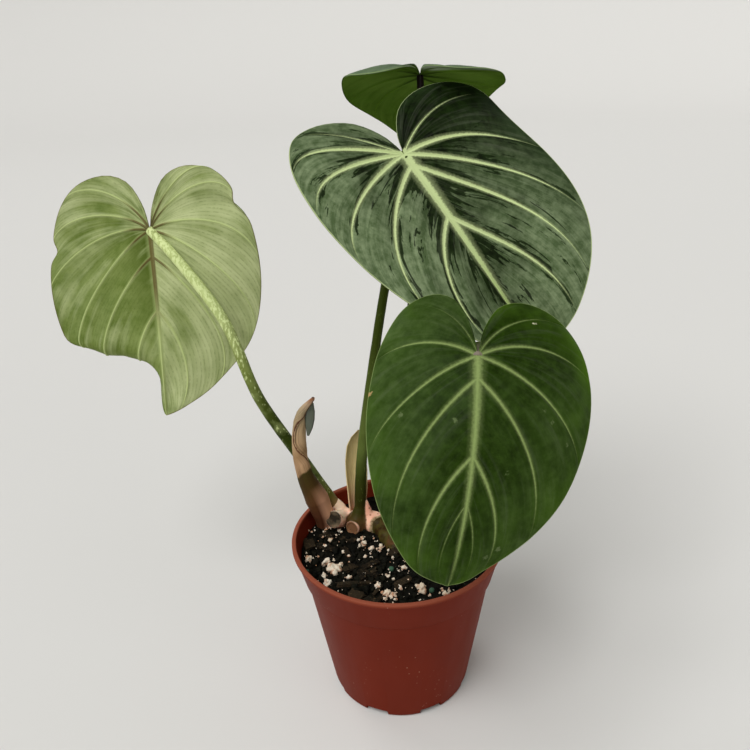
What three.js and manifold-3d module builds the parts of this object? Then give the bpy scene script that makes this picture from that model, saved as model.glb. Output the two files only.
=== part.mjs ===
// Philodendron gloriosum in a nursery pot, in millimetres, +Z up.
// The origin is the centre of the pot's flat base. The plant's rhizome creeps over the soil, and four
// heart-shaped leaves stand on petioles that rise from it.
import * as THREE from 'three';
import * as BufferGeometryUtils from 'three/addons/utils/BufferGeometryUtils.js';
import Module from 'manifold-3d';

const wasm = await Module();
wasm.setup();

// ---------------------------------------------------------------- driving dimensions
const GAP = 0.3; // clearance between pieces that touch

const RIM_RADIUS = 50; // a 10 cm nursery pot
const POT_HEIGHT = 82;
const FOOT_RADIUS = 34;
const LIP_HEIGHT = 1.8;
const BAND_HEIGHT = 16.7; // the wider band under the rim
const BAND_RADIUS = 45.6; // at the band's lower edge
const BODY_RADIUS = 44.4; // just under the band
const WALL = 1.3;
const FLOOR = 1.6;
const POT_SIDES = 48;

const NOTCHES = 8; // drainage notches round the foot
const NOTCH = { width: 11, height: 3.2, depth: 5 };

const SOIL_LEVEL = 73.5; // at the wall
const SOIL_MOUND = 1.2; // rise towards the middle
const SOIL_BUMP = 0.8;
const SOIL_SIDES = 36;
const PERLITE = { count: 28, smallest: 0.9, largest: 2.2 };
const BARK = { count: 12, length: 9, width: 3.4, thickness: 1.6 };

const BLADE = 0.8; // leaf blade thickness
const RIB = 0.7; // how far the veins stand out under the blade
const QUILT = 0.9; // how far the blade bulges up between its veins
const VEIN_EDGE = 0.12; // share of the space between two veins that a rib takes up

const COLOURS = {
  pot: 0x8a3f2a,
  soil: 0x16120f,
  rhizome: 0xc79a83,
  petiole: 0x76863f,
  petioleLime: 0x9db065,
  bladeDark: 0x2c4526,
  bladeUnder: 0x8fa06c,
  sheathFresh: 0x9a7a5c,
  sheathDry: 0xb5a57f,
};

// ---------------------------------------------------------------- small helpers
const degrees = (angle) => THREE.MathUtils.degToRad(angle);
const vector = (point) => new THREE.Vector3(...point);
const mix = THREE.MathUtils.lerp;
const smooth = (x) => THREE.MathUtils.smoothstep(x, 0, 1);

/** Numbers from 0 to 1 that are the same in every run. */
function seededRandom(seed) {
  let state = seed;
  return () => {
    state = (state * 1664525 + 1013904223) % 4294967296;
    return state / 4294967296;
  };
}

/** The value of a list that is spread evenly from 0 to 1. */
function along(list, x) {
  const place = THREE.MathUtils.clamp(x, 0, 1) * (list.length - 1);
  const low = Math.min(Math.floor(place), list.length - 2);
  return mix(list[low], list[low + 1], place - low);
}

/** A geometry from points and triangles, with equal points merged and flat triangles left out. */
function closedGeometry(points, triangles) {
  const geometry = new THREE.BufferGeometry();
  const position = points.flatMap((p) => [p.x, p.y, p.z]);
  geometry.setAttribute('position', new THREE.Float32BufferAttribute(position, 3));
  geometry.setIndex(triangles.flat());
  return welded(geometry);
}

function welded(source) {
  const bare = source.clone();
  bare.deleteAttribute('normal');
  bare.deleteAttribute('uv');
  const geometry = BufferGeometryUtils.mergeVertices(bare, 1e-3);
  const index = geometry.index.array;
  const kept = [];
  for (let i = 0; i < index.length; i += 3) {
    const [a, b, c] = [index[i], index[i + 1], index[i + 2]];
    if (a !== b && b !== c && c !== a) kept.push(a, b, c);
  }
  geometry.setIndex(kept);
  return geometry;
}

function toSolid(geometry) {
  const merged = welded(geometry);
  const vertProperties = new Float32Array(merged.attributes.position.array);
  const triVerts = new Uint32Array(merged.index.array);
  return new wasm.Manifold(new wasm.Mesh({ numProp: 3, vertProperties, triVerts }));
}

/** The largest body of a solid, as a geometry: the loose scraps of a cut are dropped. */
function toGeometry(solid) {
  const [largest] = solid.decompose().sort((a, b) => b.volume() - a.volume());
  const mesh = largest.getMesh();
  const geometry = new THREE.BufferGeometry();
  geometry.setAttribute('position', new THREE.Float32BufferAttribute(mesh.vertProperties, 3));
  geometry.setIndex([...mesh.triVerts]);
  return geometry;
}

function join(first, ...others) {
  return toGeometry(others.reduce((solid, other) => solid.add(toSolid(other)), toSolid(first)));
}

function cut(first, ...others) {
  return toGeometry(others.reduce((solid, other) => solid.subtract(toSolid(other)), toSolid(first)));
}

const round = (angle, radius) => [radius * Math.cos(angle), radius * Math.sin(angle)];

/**
 * A closed solid swept along a smooth curve through the points. outline(share) gives the section's
 * points at that share of the length, in the plane across the curve, with x towards `facing`.
 */
function sweep({ points, outline, steps, facing = [0, -1, 0] }) {
  const curve = new THREE.CatmullRomCurve3(points.map(vector), false, 'centripetal');
  const rings = [];
  for (let i = 0; i <= steps; i++) {
    const share = i / steps;
    const centre = curve.getPointAt(share);
    const tangent = curve.getTangentAt(share);
    const x = vector(facing).addScaledVector(tangent, -tangent.dot(vector(facing))).normalize();
    const y = tangent.clone().cross(x);
    const toPlace = ([a, b]) => centre.clone().addScaledVector(x, a).addScaledVector(y, b);
    rings.push(outline(share).map(toPlace));
  }
  const sides = rings[0].length;
  const triangles = [];
  for (let i = 0; i < steps; i++) {
    for (let j = 0; j < sides; j++) {
      const a = i * sides + j;
      const b = i * sides + ((j + 1) % sides);
      triangles.push([a, b, b + sides], [a, b + sides, a + sides]);
    }
  }
  for (const [start, share, flip] of [[0, 0, true], [steps * sides, 1, false]]) {
    const flat = outline(share).map(([a, b]) => new THREE.Vector2(a, b));
    for (const [a, b, c] of THREE.ShapeUtils.triangulateShape(flat, [])) {
      triangles.push(flip ? [start + a, start + c, start + b] : [start + a, start + b, start + c]);
    }
  }
  return closedGeometry(rings.flat(), triangles);
}

/** A round rod whose radius follows a list of values spread along it. */
function rod(points, radii, { sides = 8, steps = 16, facing, grow = 0 } = {}) {
  const outline = (share) => {
    const radius = along(radii, share) + grow;
    return Array.from({ length: sides }, (_, i) => round((i / sides) * 2 * Math.PI, radius));
  };
  return sweep({ points, outline, steps, facing });
}

const group = new THREE.Group();
group.name = 'philodendron_gloriosum';

function addPiece(name, geometry, colour, roughness = 0.6) {
  const material = new THREE.MeshStandardMaterial({ color: colour, roughness, metalness: 0 });
  const faceted = geometry.toNonIndexed();
  faceted.computeVertexNormals();
  const mesh = new THREE.Mesh(faceted, material);
  mesh.name = name;
  group.add(mesh);
  return geometry;
}

// ---------------------------------------------------------------- pot
const bandBottom = POT_HEIGHT - BAND_HEIGHT;
const lipBottom = POT_HEIGHT - LIP_HEIGHT;
const bodyLean = (BODY_RADIUS - FOOT_RADIUS) / bandBottom;
const bandLean = (RIM_RADIUS - 0.8 - BAND_RADIUS) / (lipBottom - bandBottom);
const innerBody = (z) => FOOT_RADIUS + bodyLean * z - WALL;
const innerBand = (z) => BAND_RADIUS + bandLean * (z - bandBottom) - WALL;
const innerStep = bandBottom + 0.6; // the band's inner shoulder

function buildPot() {
  const profile = [
    [0, 0],
    [FOOT_RADIUS - 0.8, 0],
    [FOOT_RADIUS, 1],
    [BODY_RADIUS, bandBottom - 0.4],
    [BAND_RADIUS, bandBottom],
    [RIM_RADIUS - 0.8, lipBottom - 0.2],
    [RIM_RADIUS, lipBottom],
    [RIM_RADIUS, POT_HEIGHT - 0.3],
    [RIM_RADIUS - 0.4, POT_HEIGHT],
    [RIM_RADIUS - 1.9, POT_HEIGHT],
    [innerBand(lipBottom), lipBottom - 0.4],
    [innerBand(innerStep), innerStep],
    [innerBody(bandBottom - 1.4), bandBottom - 1.4],
    [innerBody(FLOOR), FLOOR],
    [0, FLOOR],
  ].map(([r, z]) => new THREE.Vector2(r, z));
  const shell = new THREE.LatheGeometry(profile, POT_SIDES).rotateX(Math.PI / 2);
  const notches = [];
  for (let i = 0; i < NOTCHES; i++) {
    const notch = new THREE.BoxGeometry(2 * NOTCH.depth, NOTCH.width, 2 * NOTCH.height);
    notch.translate(FOOT_RADIUS, 0, 0);
    notch.rotateZ(((i + 0.5) / NOTCHES) * 2 * Math.PI);
    notches.push(notch);
  }
  return cut(shell, ...notches);
}

addPiece('pot', buildPot(), COLOURS.pot, 0.45);

// ---------------------------------------------------------------- rhizome
// It lies half sunk in the soil, from the growing end at the left to the old end that dips into the soil.
const RHIZOME_PATH = [
  [-35, 25, 75],
  [-28, 25.5, 76],
  [-21, 21.5, 76],
  [-14, 19, 76.5],
  [-8, 15, 76],
  [-4, 7, 74.5],
  [0, -2, 72],
  [3, -9, 66],
];
const RHIZOME_RADII = [3.6, 4.4, 4.2, 5.2, 5.6, 4.6, 4.7, 4.4, 3.8, 2.6];
const STUBS = [
  { from: [-27, 24, 76], to: [-30.1, 16.5, 80.8], radius: 4.2 },
  { from: [-17.5, 19, 75.5], to: [-21.9, 12, 77], radius: 3.7 },
];

function buildRhizome(grow) {
  const stem = rod(RHIZOME_PATH, RHIZOME_RADII, { sides: 12, steps: 26, facing: [0, 0, 1], grow });
  const stubs = STUBS.map(({ from, to, radius }) => {
    return rod([from, to], [radius, radius], { sides: 10, steps: 1, facing: [0, 0, 1], grow });
  });
  return join(stem, ...stubs);
}

addPiece('rhizome', buildRhizome(0), COLOURS.rhizome);
const rhizomeRoom = buildRhizome(GAP);

// ---------------------------------------------------------------- leaves
// A blade is a heart in a plane first: u across from the midrib, v along it towards the tip, with the
// petiole at 0, 0. Each half is a fan of curved veins from the midrib to the margin, and the mesh
// follows them. Then the halves fold and arch about the midrib, and the blade droops along its length.
// `right` and `left` are as seen from the petiole, looking at the tip with the upper face up.
// Angles are in degrees, and a pair of them holds for the base and the tip, or the first and last vein.
// A vein's start is a share of the midrib, and its end is a share of the margin. A curl turns what lies
// beyond the line from one point of the plane to another back over the upper face. A dent draws the
// margin in by a share of the width, over a short reach of the margin.
const HEART = [
  [0, 0],
  [0.055, -0.42],
  [0.2, -0.84],
  [0.44, -1],
  [0.72, -0.86],
  [0.92, -0.4],
  [1, 0.08],
  [0.95, 0.34],
  [0.76, 0.62],
  [0.44, 0.845],
  [0.17, 0.955],
  [0, 1],
];

const LEAVES = {
  left: {
    attach: [-113.9, 70.3, 215.6],
    heading: 185.4,
    slope: 107.7,
    roll: -4.3,
    length: 91.2,
    droop: 4,
    bend: -0.4,
    veinStart: [0, 0, 0, 0, 0.14, 0.43],
    right: {
      width: 57.8,
      lobe: 28.7,
      lobeDroop: 6.7,
      fold: [-29, 10.5],
      arch: -8.5,
      veinEnd: [0.29, 0.36, 0.515, 0.685, 0.84, 0.965],
      leave: [35, 35],
      arrive: [77, 42],
      wave: { height: 1.5, count: 3, phase: 0 },
      dent: { at: 0.39, reach: 0.03, depth: 0.08 },
    },
    left: {
      width: 53.5,
      lobe: 29,
      lobeDroop: -4.3,
      fold: [21.5, -17.5],
      arch: 21,
      veinEnd: [0.32, 0.43, 0.55, 0.75, 0.84, 0.945],
      leave: [40, 36],
      arrive: [60, 31],
      wave: { height: 1.5, count: 3, phase: 0.5 },
      dent: { at: 0.465, reach: 0.02, depth: 0.05 },
      curl: { from: [33, 50.5], to: [0, 59.5], radius: 6.2, turn: 120 },
    },
  },
  big: {
    attach: [8.8, 33.4, 252],
    heading: 63.7,
    slope: 50.7,
    roll: -39.6,
    length: 109.7,
    droop: 25,
    bend: -7.5,
    veinStart: [0, 0, 0, 0, 0.05, 0.29, 0.42],
    right: {
      width: 56.5,
      lobe: 28,
      lobeDroop: 31,
      fold: [12.5, 38.5],
      arch: -8.5,
      veinEnd: [0.265, 0.335, 0.415, 0.53, 0.685, 0.81, 0.94],
      leave: [16, 36],
      arrive: [59, 47],
      wave: { height: 1, count: 3, phase: 0 },
    },
    left: {
      width: 62.5,
      lobe: 21.5,
      lobeDroop: 15,
      fold: [0, 51],
      arch: 29,
      veinEnd: [0.225, 0.36, 0.525, 0.675, 0.785, 0.87, 0.95],
      leave: [37, 1],
      arrive: [33, 30],
      wave: { height: 1, count: 3, phase: 0.5 },
    },
  },
  front: {
    attach: [29.4, -49.5, 193.5],
    heading: -6.3,
    slope: 37.8,
    roll: 4.7,
    length: 86.6,
    droop: 59,
    bend: 6.9,
    veinStart: [0, 0, 0, 0.1, 0.42, 0.61],
    right: {
      width: 41.1,
      lobe: 31.9,
      lobeDroop: 13,
      fold: [-11, 17],
      arch: 25,
      veinEnd: [0.27, 0.42, 0.66, 0.83, 0.92, 0.985],
      leave: [31, 28],
      arrive: [40, 36],
      wave: { height: 0.8, count: 3, phase: 0.2 },
    },
    left: {
      width: 47.5,
      lobe: 28.3,
      lobeDroop: 13,
      fold: [-4.5, -5],
      arch: 32,
      veinEnd: [0.3, 0.43, 0.65, 0.83, 0.93, 0.98],
      leave: [36, 19],
      arrive: [42, 27],
      wave: { height: 0.8, count: 3, phase: 0.7 },
    },
  },
  back: {
    attach: [19.6, 83.8, 280.7],
    heading: 172,
    slope: 22.6,
    roll: 2,
    length: 75.7,
    droop: 26,
    bend: 1.9,
    veinStart: [0, 0, 0, 0.04, 0.2, 0.45],
    right: {
      width: 39.7,
      lobe: 28.9,
      lobeDroop: 26,
      fold: [-7.6, 23.6],
      arch: -4,
      veinEnd: [0.26, 0.4, 0.6, 0.78, 0.88, 0.95],
      leave: [30, 20],
      arrive: [40, 36],
      wave: { height: 0.8, count: 3, phase: 0 },
    },
    left: {
      width: 37.7,
      lobe: 34,
      lobeDroop: 31,
      fold: [2, 14],
      arch: 17,
      veinEnd: [0.26, 0.4, 0.6, 0.78, 0.88, 0.95],
      leave: [30, 20],
      arrive: [40, 36],
      wave: { height: 0.8, count: 3, phase: 0.5 },
    },
  },
};
const SIDES = { right: 1, left: -1 };
const CURL_EASE = 12; // a curl fades out this near the midrib
const SINUS_ROOM = 0.1; // more clearance where a petiole stands in the cleft between the lobes
const ROWS = [0, 0.06, 0.25, 0.45, 0.65, 0.85, 1]; // from the midrib to the margin

/** Directions of a blade at its petiole: across to the right, along to the tip, and up from its face. */
function bladeAxes({ heading, slope, roll }) {
  const [yaw, pitch, bank] = [degrees(heading), degrees(slope), degrees(roll)];
  const level = new THREE.Vector3(-Math.cos(yaw), -Math.sin(yaw), 0);
  const tip = new THREE.Vector3(
    Math.sin(yaw) * Math.cos(pitch),
    -Math.cos(yaw) * Math.cos(pitch),
    -Math.sin(pitch),
  );
  const face = level.clone().cross(tip);
  const across = level.clone().multiplyScalar(Math.cos(bank)).addScaledVector(face, Math.sin(bank));
  const up = face.multiplyScalar(Math.cos(bank)).addScaledVector(level, -Math.sin(bank));
  return { across, tip, up };
}

/** The margin of one half in the plane, from the petiole round the lobe to the tip. */
function marginCurve(leaf, half) {
  const points = HEART.map(([u, v]) => {
    return new THREE.Vector2(u * half.width, v * (v < 0 ? half.lobe : leaf.length));
  });
  return new THREE.SplineCurve(points);
}

/** A point of the margin at a share of its length, drawn in where the margin has a dent. */
function marginPoint(half, margin, share) {
  const point = margin.getPointAt(share);
  if (half.dent) {
    const { at, reach, depth } = half.dent;
    point.x *= 1 - depth * Math.exp(-(((share - at) / reach) ** 2));
  }
  return point;
}

const turned = ({ x, y }, angle) => {
  return [x * Math.cos(angle) - y * Math.sin(angle), x * Math.sin(angle) + y * Math.cos(angle)];
};

/** A point of the plane on vein `tau` (whole numbers are the primary veins), at share s of its length. */
function veinPoint(leaf, half, margin, tau, s) {
  const last = leaf.veinStart.length + 1;
  const start = along([0, ...leaf.veinStart, 1], tau / last) * leaf.length;
  const end = marginPoint(half, margin, along([0, ...half.veinEnd, 1], tau / last));
  const rank = THREE.MathUtils.clamp((tau - 1) / (last - 2), 0, 1);
  const fade = tau < 1 ? tau * tau : Math.min(1, last - tau);
  const reach = new THREE.Vector2(end.x / 3, (end.y - start) / 3);
  const [leaveX, leaveY] = turned(reach, -degrees(mix(...half.leave, rank)) * fade);
  const [arriveX, arriveY] = turned(reach, degrees(mix(...half.arrive, rank)) * fade);
  const vein = new THREE.CubicBezierCurve(
    new THREE.Vector2(0, start),
    new THREE.Vector2(leaveX, start + leaveY),
    new THREE.Vector2(end.x - arriveX, end.y - arriveY),
    end,
  );
  return vein.getPoint(s);
}

/** Direction in the plane that leads out of the blade, square to its margin. */
function outwardAt(leaf, half, margin, tau) {
  const ahead = veinPoint(leaf, half, margin, tau + 0.01, 1);
  ahead.sub(veinPoint(leaf, half, margin, tau - 0.01, 1));
  return new THREE.Vector2(ahead.y, -ahead.x).normalize();
}

/** Length along and height of an arc that turns by `angle` in each millimetre. */
function arc(angle, distance) {
  if (Math.abs(angle) < 1e-6) return [distance, 0];
  return [Math.sin(angle * distance) / angle, (1 - Math.cos(angle * distance)) / angle];
}

/** A point of the plane after the part beyond the curl's line is turned up: across, along and height. */
function curledPoint(half, u, v) {
  if (!half.curl) return [u, v, 0];
  const { from, to, radius, turn } = half.curl;
  const line = new THREE.Vector2(to[0] - from[0], to[1] - from[1]).normalize();
  const beyond = [line.y, -line.x];
  const distance = (u - from[0]) * beyond[0] + (v - from[1]) * beyond[1];
  if (distance <= 0) return [u, v, 0];
  const rolled = Math.min(distance / radius, degrees(turn));
  const straight = distance - rolled * radius;
  const ahead = radius * Math.sin(rolled) + straight * Math.cos(rolled);
  const height = radius * (1 - Math.cos(rolled)) + straight * Math.sin(rolled);
  const near = smooth(u / CURL_EASE);
  const shift = (ahead - distance) * near;
  return [u + shift * beyond[0], v + shift * beyond[1], height * near];
}

/** A point of the plane after the half is folded and arched and the blade droops, in blade axes. */
function bentPoint(leaf, half, side, flatU, flatV) {
  const [u, v, lift] = curledPoint(half, flatU, flatV);
  const fold = degrees(mix(...half.fold, smooth(v / leaf.length)));
  const [reach, sag] = arc(degrees(half.arch) / half.width, u);
  const across = reach * Math.cos(fold) + (sag - lift) * Math.sin(fold);
  const height = reach * Math.sin(fold) - (sag - lift) * Math.cos(fold);
  const turn = v > 0 ? degrees(leaf.droop) / leaf.length : degrees(half.lobeDroop) / half.lobe;
  const [ahead, drop] = arc(turn, v);
  return new THREE.Vector3(
    side * across + leaf.bend * Math.max(0, v / leaf.length) ** 2,
    ahead + height * Math.sin(turn * v),
    height * Math.cos(turn * v) - drop,
  );
}

/** How far the blade stands up between its veins and at its waved edge, and a rib stands out below it. */
function relief(leaf, half, tau, s, v) {
  const share = tau - Math.floor(tau);
  const turnShare = tau / (leaf.veinStart.length + 1);
  const { height, count, phase } = half.wave;
  const ripple = Math.sin(2 * Math.PI * (count * turnShare + phase));
  const wave = height * s ** 3 * Math.sin(Math.PI * turnShare) * ripple;
  const bulge = QUILT * Math.sin(Math.PI * share) ** 2 * Math.sin(Math.PI * s) + wave;
  const isVein = share === 0 && tau > 0 && tau <= leaf.veinStart.length;
  const veinRib = isVein ? RIB * (1 - 0.8 * s) : 0;
  const midrib = RIB * (1.2 - THREE.MathUtils.clamp(v / leaf.length, 0, 1));
  return { bulge, rib: s === 0 ? midrib : veinRib };
}

/** One closed blade. `room` thickens it and widens its rim, for the cut that keeps a neighbour clear. */
function bladeGeometry(leaf, room = 0) {
  const axes = bladeAxes(leaf);
  const attach = vector(leaf.attach);
  const place = (p) => {
    const point = attach.clone().addScaledVector(axes.across, p.x);
    return point.addScaledVector(axes.tip, p.y).addScaledVector(axes.up, p.z);
  };
  const columns = [];
  for (let vein = 0; vein <= leaf.veinStart.length; vein++) {
    columns.push(vein, vein + VEIN_EDGE, vein + 0.5, vein + 1 - VEIN_EDGE);
  }
  columns.push(leaf.veinStart.length + 1);
  const points = [];
  const triangles = [];
  for (const [name, side] of Object.entries(SIDES)) {
    const half = leaf[name];
    const margin = marginCurve(leaf, half);
    const first = points.length;
    for (const tau of columns) {
      for (const s of ROWS) {
        const flat = veinPoint(leaf, half, margin, tau, s);
        const [u, v] = [Math.max(0, flat.x), flat.y];
        const point = bentPoint(leaf, half, side, u, v);
        const turn = v > 0 ? degrees(leaf.droop) / leaf.length : 0;
        const normal = new THREE.Vector3(0, Math.sin(turn * v), Math.cos(turn * v));
        if (u > 1e-3) {
          const near = (du, dv) => bentPoint(leaf, half, side, u + du, v + dv);
          const alongU = near(0.1, 0).sub(near(-0.1, 0));
          const alongV = near(0, 0.1).sub(near(0, -0.1));
          normal.copy(alongU.cross(alongV)).normalize().multiplyScalar(side);
        }
        if (room && s === 1) {
          const out = flat.clone().addScaledVector(outwardAt(leaf, half, margin, tau), 0.1);
          const shift = new THREE.Vector3(0, tau < 1 ? -1 : 1, 0);
          if (u > 1e-3) shift.copy(bentPoint(leaf, half, side, out.x, out.y).sub(point)).normalize();
          point.addScaledVector(shift, room);
        }
        const { bulge, rib } = relief(leaf, half, tau, s, v);
        points.push(place(point.clone().addScaledVector(normal, bulge + BLADE / 2 + room)));
        points.push(place(point.clone().addScaledVector(normal, bulge - BLADE / 2 - rib - room)));
      }
    }
    const at = (column, row, below) => first + 2 * (column * ROWS.length + row) + below;
    const add = (a, b, c) => triangles.push(side > 0 ? [a, b, c] : [a, c, b]);
    for (let column = 0; column < columns.length - 1; column++) {
      for (let row = 0; row < ROWS.length - 1; row++) {
        for (const below of [0, 1]) {
          const corners = [at(column, row, below), at(column, row + 1, below)];
          corners.push(at(column + 1, row + 1, below), at(column + 1, row, below));
          if (below) corners.reverse();
          const [a, b, c, d] = corners;
          if (below) {
            add(a, b, d);
            add(b, c, d);
          } else {
            add(a, b, c);
            add(a, c, d);
          }
        }
      }
      const rim = ROWS.length - 1;
      add(at(column, rim, 0), at(column, rim, 1), at(column + 1, rim, 1));
      add(at(column, rim, 0), at(column + 1, rim, 1), at(column + 1, rim, 0));
    }
  }
  return closedGeometry(points, triangles);
}

const bladeRoom = {};
for (const [name, leaf] of Object.entries(LEAVES)) {
  const colour = name === 'left' || name === 'back' ? COLOURS.bladeUnder : COLOURS.bladeDark;
  addPiece(`leaf_${name}`, bladeGeometry(leaf), colour, 0.5);
  bladeRoom[name] = bladeGeometry(leaf, GAP + SINUS_ROOM);
}

// ---------------------------------------------------------------- petioles
// Each rises from the rhizome and ends under its blade, where it is cut to the blade's underside.
const PETIOLES = {
  left: {
    points: [
      [-27, 26, 76], [-32.5, 28, 84.3], [-44.1, 33, 102.4],
      [-64.7, 38.5, 137.6], [-78.4, 44.5, 176.7], [-99, 56, 204],
    ],
    radii: [3.2, 2.9, 2.7, 2.6, 2.6, 2.3],
    colour: COLOURS.petioleLime,
  },
  big: {
    points: [
      [-17.5, 19.5, 77], [-17.2, 20, 88], [-15, 24, 114],
      [-5, 33, 173], [2.3, 41, 209], [7, 42, 243],
    ],
    radii: [2.9, 2.6, 2.3, 2.1, 2, 1.9],
    colour: COLOURS.petiole,
  },
  front: {
    points: [[-1.5, 2, 73], [2, 2, 89], [10, 2, 104], [24, 1, 132], [32, -11, 163], [32, -33, 189]],
    radii: [3.2, 2.7, 2.4, 2.2, 2, 1.9],
    colour: COLOURS.petiole,
  },
  back: {
    points: [[-4.5, 12, 75], [-2, 18, 97], [3.3, 30, 138], [11.7, 44, 183], [17.2, 60, 227], [19.2, 76, 268]],
    radii: [3, 2.5, 2.1, 1.9, 1.8, 1.6],
    colour: COLOURS.petiole,
  },
};

const petioleRoom = {};
for (const [name, { points, radii, colour }] of Object.entries(PETIOLES)) {
  const leaf = LEAVES[name];
  const top = vector(leaf.attach).addScaledVector(bladeAxes(leaf).up, -BLADE);
  const route = [...points, top.toArray()];
  const options = { sides: 8, steps: 24 };
  addPiece(`petiole_${name}`, cut(rod(route, radii, options), bladeRoom[name], rhizomeRoom), colour);
  petioleRoom[name] = rod(route, radii, { ...options, grow: GAP });
}

// ---------------------------------------------------------------- sheaths
// A sheath (cataphyll) is a curled scale with a slit. `open` and `shut` are the angles of its two edges
// round its axis, from the side that faces -Y towards +X, so its wall runs from `shut` round the back.
const SHEATHS = {
  new: {
    points: [
      [-35.8, 20.5, 74.5], [-36, 19.8, 80], [-38, 19, 89], [-43, 19, 104],
      [-45, 20.5, 118], [-44.1, 21, 131], [-42.2, 20, 138.6], [-36, 17, 147],
    ],
    radii: [4, 5.3, 5.8, 4.7, 3.9, 3.7, 3.4, 3, 1.8, 0.8],
    walls: [2.4, 2.2, 1.8, 1.1, 0.8, 0.8, 0.8, 0.7, 0.6, 0.5],
    open: [80, 80],
    shut: [95, 95],
    colour: COLOURS.sheathFresh,
  },
  dried: {
    points: [[-18.8, 22.5, 79], [-18.6, 24, 90], [-18, 26, 105], [-17, 27, 116], [-15.7, 27.5, 122.5]],
    radii: [4.2, 4.7, 5.4, 6.1, 5.8, 2.8],
    walls: [1, 0.9, 0.8, 0.7, 0.7, 0.6],
    open: [-85, -90, -100, -105, -113, -155],
    shut: [80, 85, 110, 130, 145, 165],
    colour: COLOURS.sheathDry,
  },
};
const SCALE_POINTS = 9; // points round the curl

function sheathGeometry({ points, radii, walls, open, shut }, room = 0) {
  const outline = (share) => {
    const [start, end] = [degrees(along(shut, share)), degrees(along(open, share) + 360)];
    const radius = along(radii, share) + room;
    const inner = Math.max(0.2, radius - along(walls, share) - 2 * room);
    const turns = Array.from({ length: SCALE_POINTS }, (_, i) => mix(start, end, i / (SCALE_POINTS - 1)));
    const outside = turns.map((turn) => round(turn, radius));
    return [...outside, ...turns.reverse().map((turn) => round(turn, inner))];
  };
  return sweep({ points, outline, steps: 14 });
}

for (const [name, sheath] of Object.entries(SHEATHS)) {
  const geometry = cut(sheathGeometry(sheath), rhizomeRoom, petioleRoom.left, petioleRoom.big);
  addPiece(`sheath_${name}`, geometry, sheath.colour, 0.7);
}

// ---------------------------------------------------------------- soil
// Perlite and bark stand out of its surface, and the plant stands in plain holes in it.
function buildSoil() {
  const random = seededRandom(11);
  const floor = FLOOR + GAP;
  const wallRadius = innerBand(SOIL_LEVEL) - GAP;
  const surface = (r) => SOIL_LEVEL + SOIL_MOUND * (1 - (r / wallRadius) ** 2);
  const shoulder = bandBottom - 2;
  const profile = [
    [0, floor],
    [innerBody(floor) - GAP - 0.1, floor],
    [innerBody(shoulder) - GAP, shoulder],
    [innerBody(shoulder) - GAP, innerStep + 0.6],
    [wallRadius, SOIL_LEVEL],
  ];
  for (let r = wallRadius - 4; r > 0; r -= 6) profile.push([r, surface(r)]);
  profile.push([0, surface(0)]);
  const body = new THREE.LatheGeometry(profile.map(([r, z]) => new THREE.Vector2(r, z)), SOIL_SIDES);
  body.rotateX(Math.PI / 2);
  const merged = welded(body);
  const position = merged.attributes.position;
  for (let i = 0; i < position.count; i++) {
    const radius = Math.hypot(position.getX(i), position.getY(i));
    if (position.getZ(i) < SOIL_LEVEL - 0.01 || radius > wallRadius - 1) continue;
    position.setZ(i, position.getZ(i) + SOIL_BUMP * (2 * random() - 1));
  }

  const lumps = [];
  const scatter = (lump, sink) => {
    const [turn, radius] = [random() * 2 * Math.PI, (wallRadius - 5) * Math.sqrt(random())];
    lump.rotateX(random() * 0.5 - 0.25).rotateZ(random() * Math.PI);
    lumps.push(lump.translate(radius * Math.cos(turn), radius * Math.sin(turn), surface(radius) - sink));
  };
  for (let i = 0; i < PERLITE.count; i++) {
    const size = mix(PERLITE.smallest, PERLITE.largest, random() ** 2);
    scatter(new THREE.IcosahedronGeometry(size, 0), size * 0.3);
  }
  for (let i = 0; i < BARK.count; i++) {
    const scale = mix(0.6, 1, random());
    const chip = new THREE.BoxGeometry(BARK.length * scale, BARK.width * scale, BARK.thickness);
    scatter(chip, 0.1);
  }
  return cut(join(merged, ...lumps), rhizomeRoom, sheathGeometry(SHEATHS.new, GAP));
}

addPiece('soil', buildSoil(), COLOURS.soil, 0.95);

export default group;
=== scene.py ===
# %% [markdown]
# # A Philodendron gloriosum in its nursery pot
#
# The plant is a creeping aroid. A thick stem, the rhizome, lies on the potting mix, and each heart-shaped
# leaf stands on a stalk of its own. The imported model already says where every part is, so this lesson
# loads it first and then lays a finer, finished piece over each part, in the same place.

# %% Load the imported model
import math

import bmesh
import bpy
import numpy as np
from mathutils import Matrix, Quaternion, Vector, noise


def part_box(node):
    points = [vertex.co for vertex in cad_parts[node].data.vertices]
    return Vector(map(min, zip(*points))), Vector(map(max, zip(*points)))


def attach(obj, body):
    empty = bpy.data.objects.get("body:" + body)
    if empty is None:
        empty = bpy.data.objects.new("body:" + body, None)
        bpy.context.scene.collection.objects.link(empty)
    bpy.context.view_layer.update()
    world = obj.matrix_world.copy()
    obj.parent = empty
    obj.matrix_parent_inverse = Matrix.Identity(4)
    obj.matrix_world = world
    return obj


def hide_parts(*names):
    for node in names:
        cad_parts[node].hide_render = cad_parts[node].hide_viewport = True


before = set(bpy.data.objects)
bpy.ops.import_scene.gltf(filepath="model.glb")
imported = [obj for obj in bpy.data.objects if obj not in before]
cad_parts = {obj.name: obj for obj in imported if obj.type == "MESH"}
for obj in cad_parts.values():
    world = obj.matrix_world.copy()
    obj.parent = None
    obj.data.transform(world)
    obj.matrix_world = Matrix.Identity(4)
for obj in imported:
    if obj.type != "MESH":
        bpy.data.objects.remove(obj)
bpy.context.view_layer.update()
MM = 0.001  # shapes are worked out in millimetres, and Blender holds metres
print("nodes:", sorted(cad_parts))

# %% [markdown]
# ## The camera
#
# The plant is seen from a little above, from about half a metre away, with the camera held almost level.
# The lens follows from the focal length in pixels: a sensor as wide as the picture has the same angle.

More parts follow.
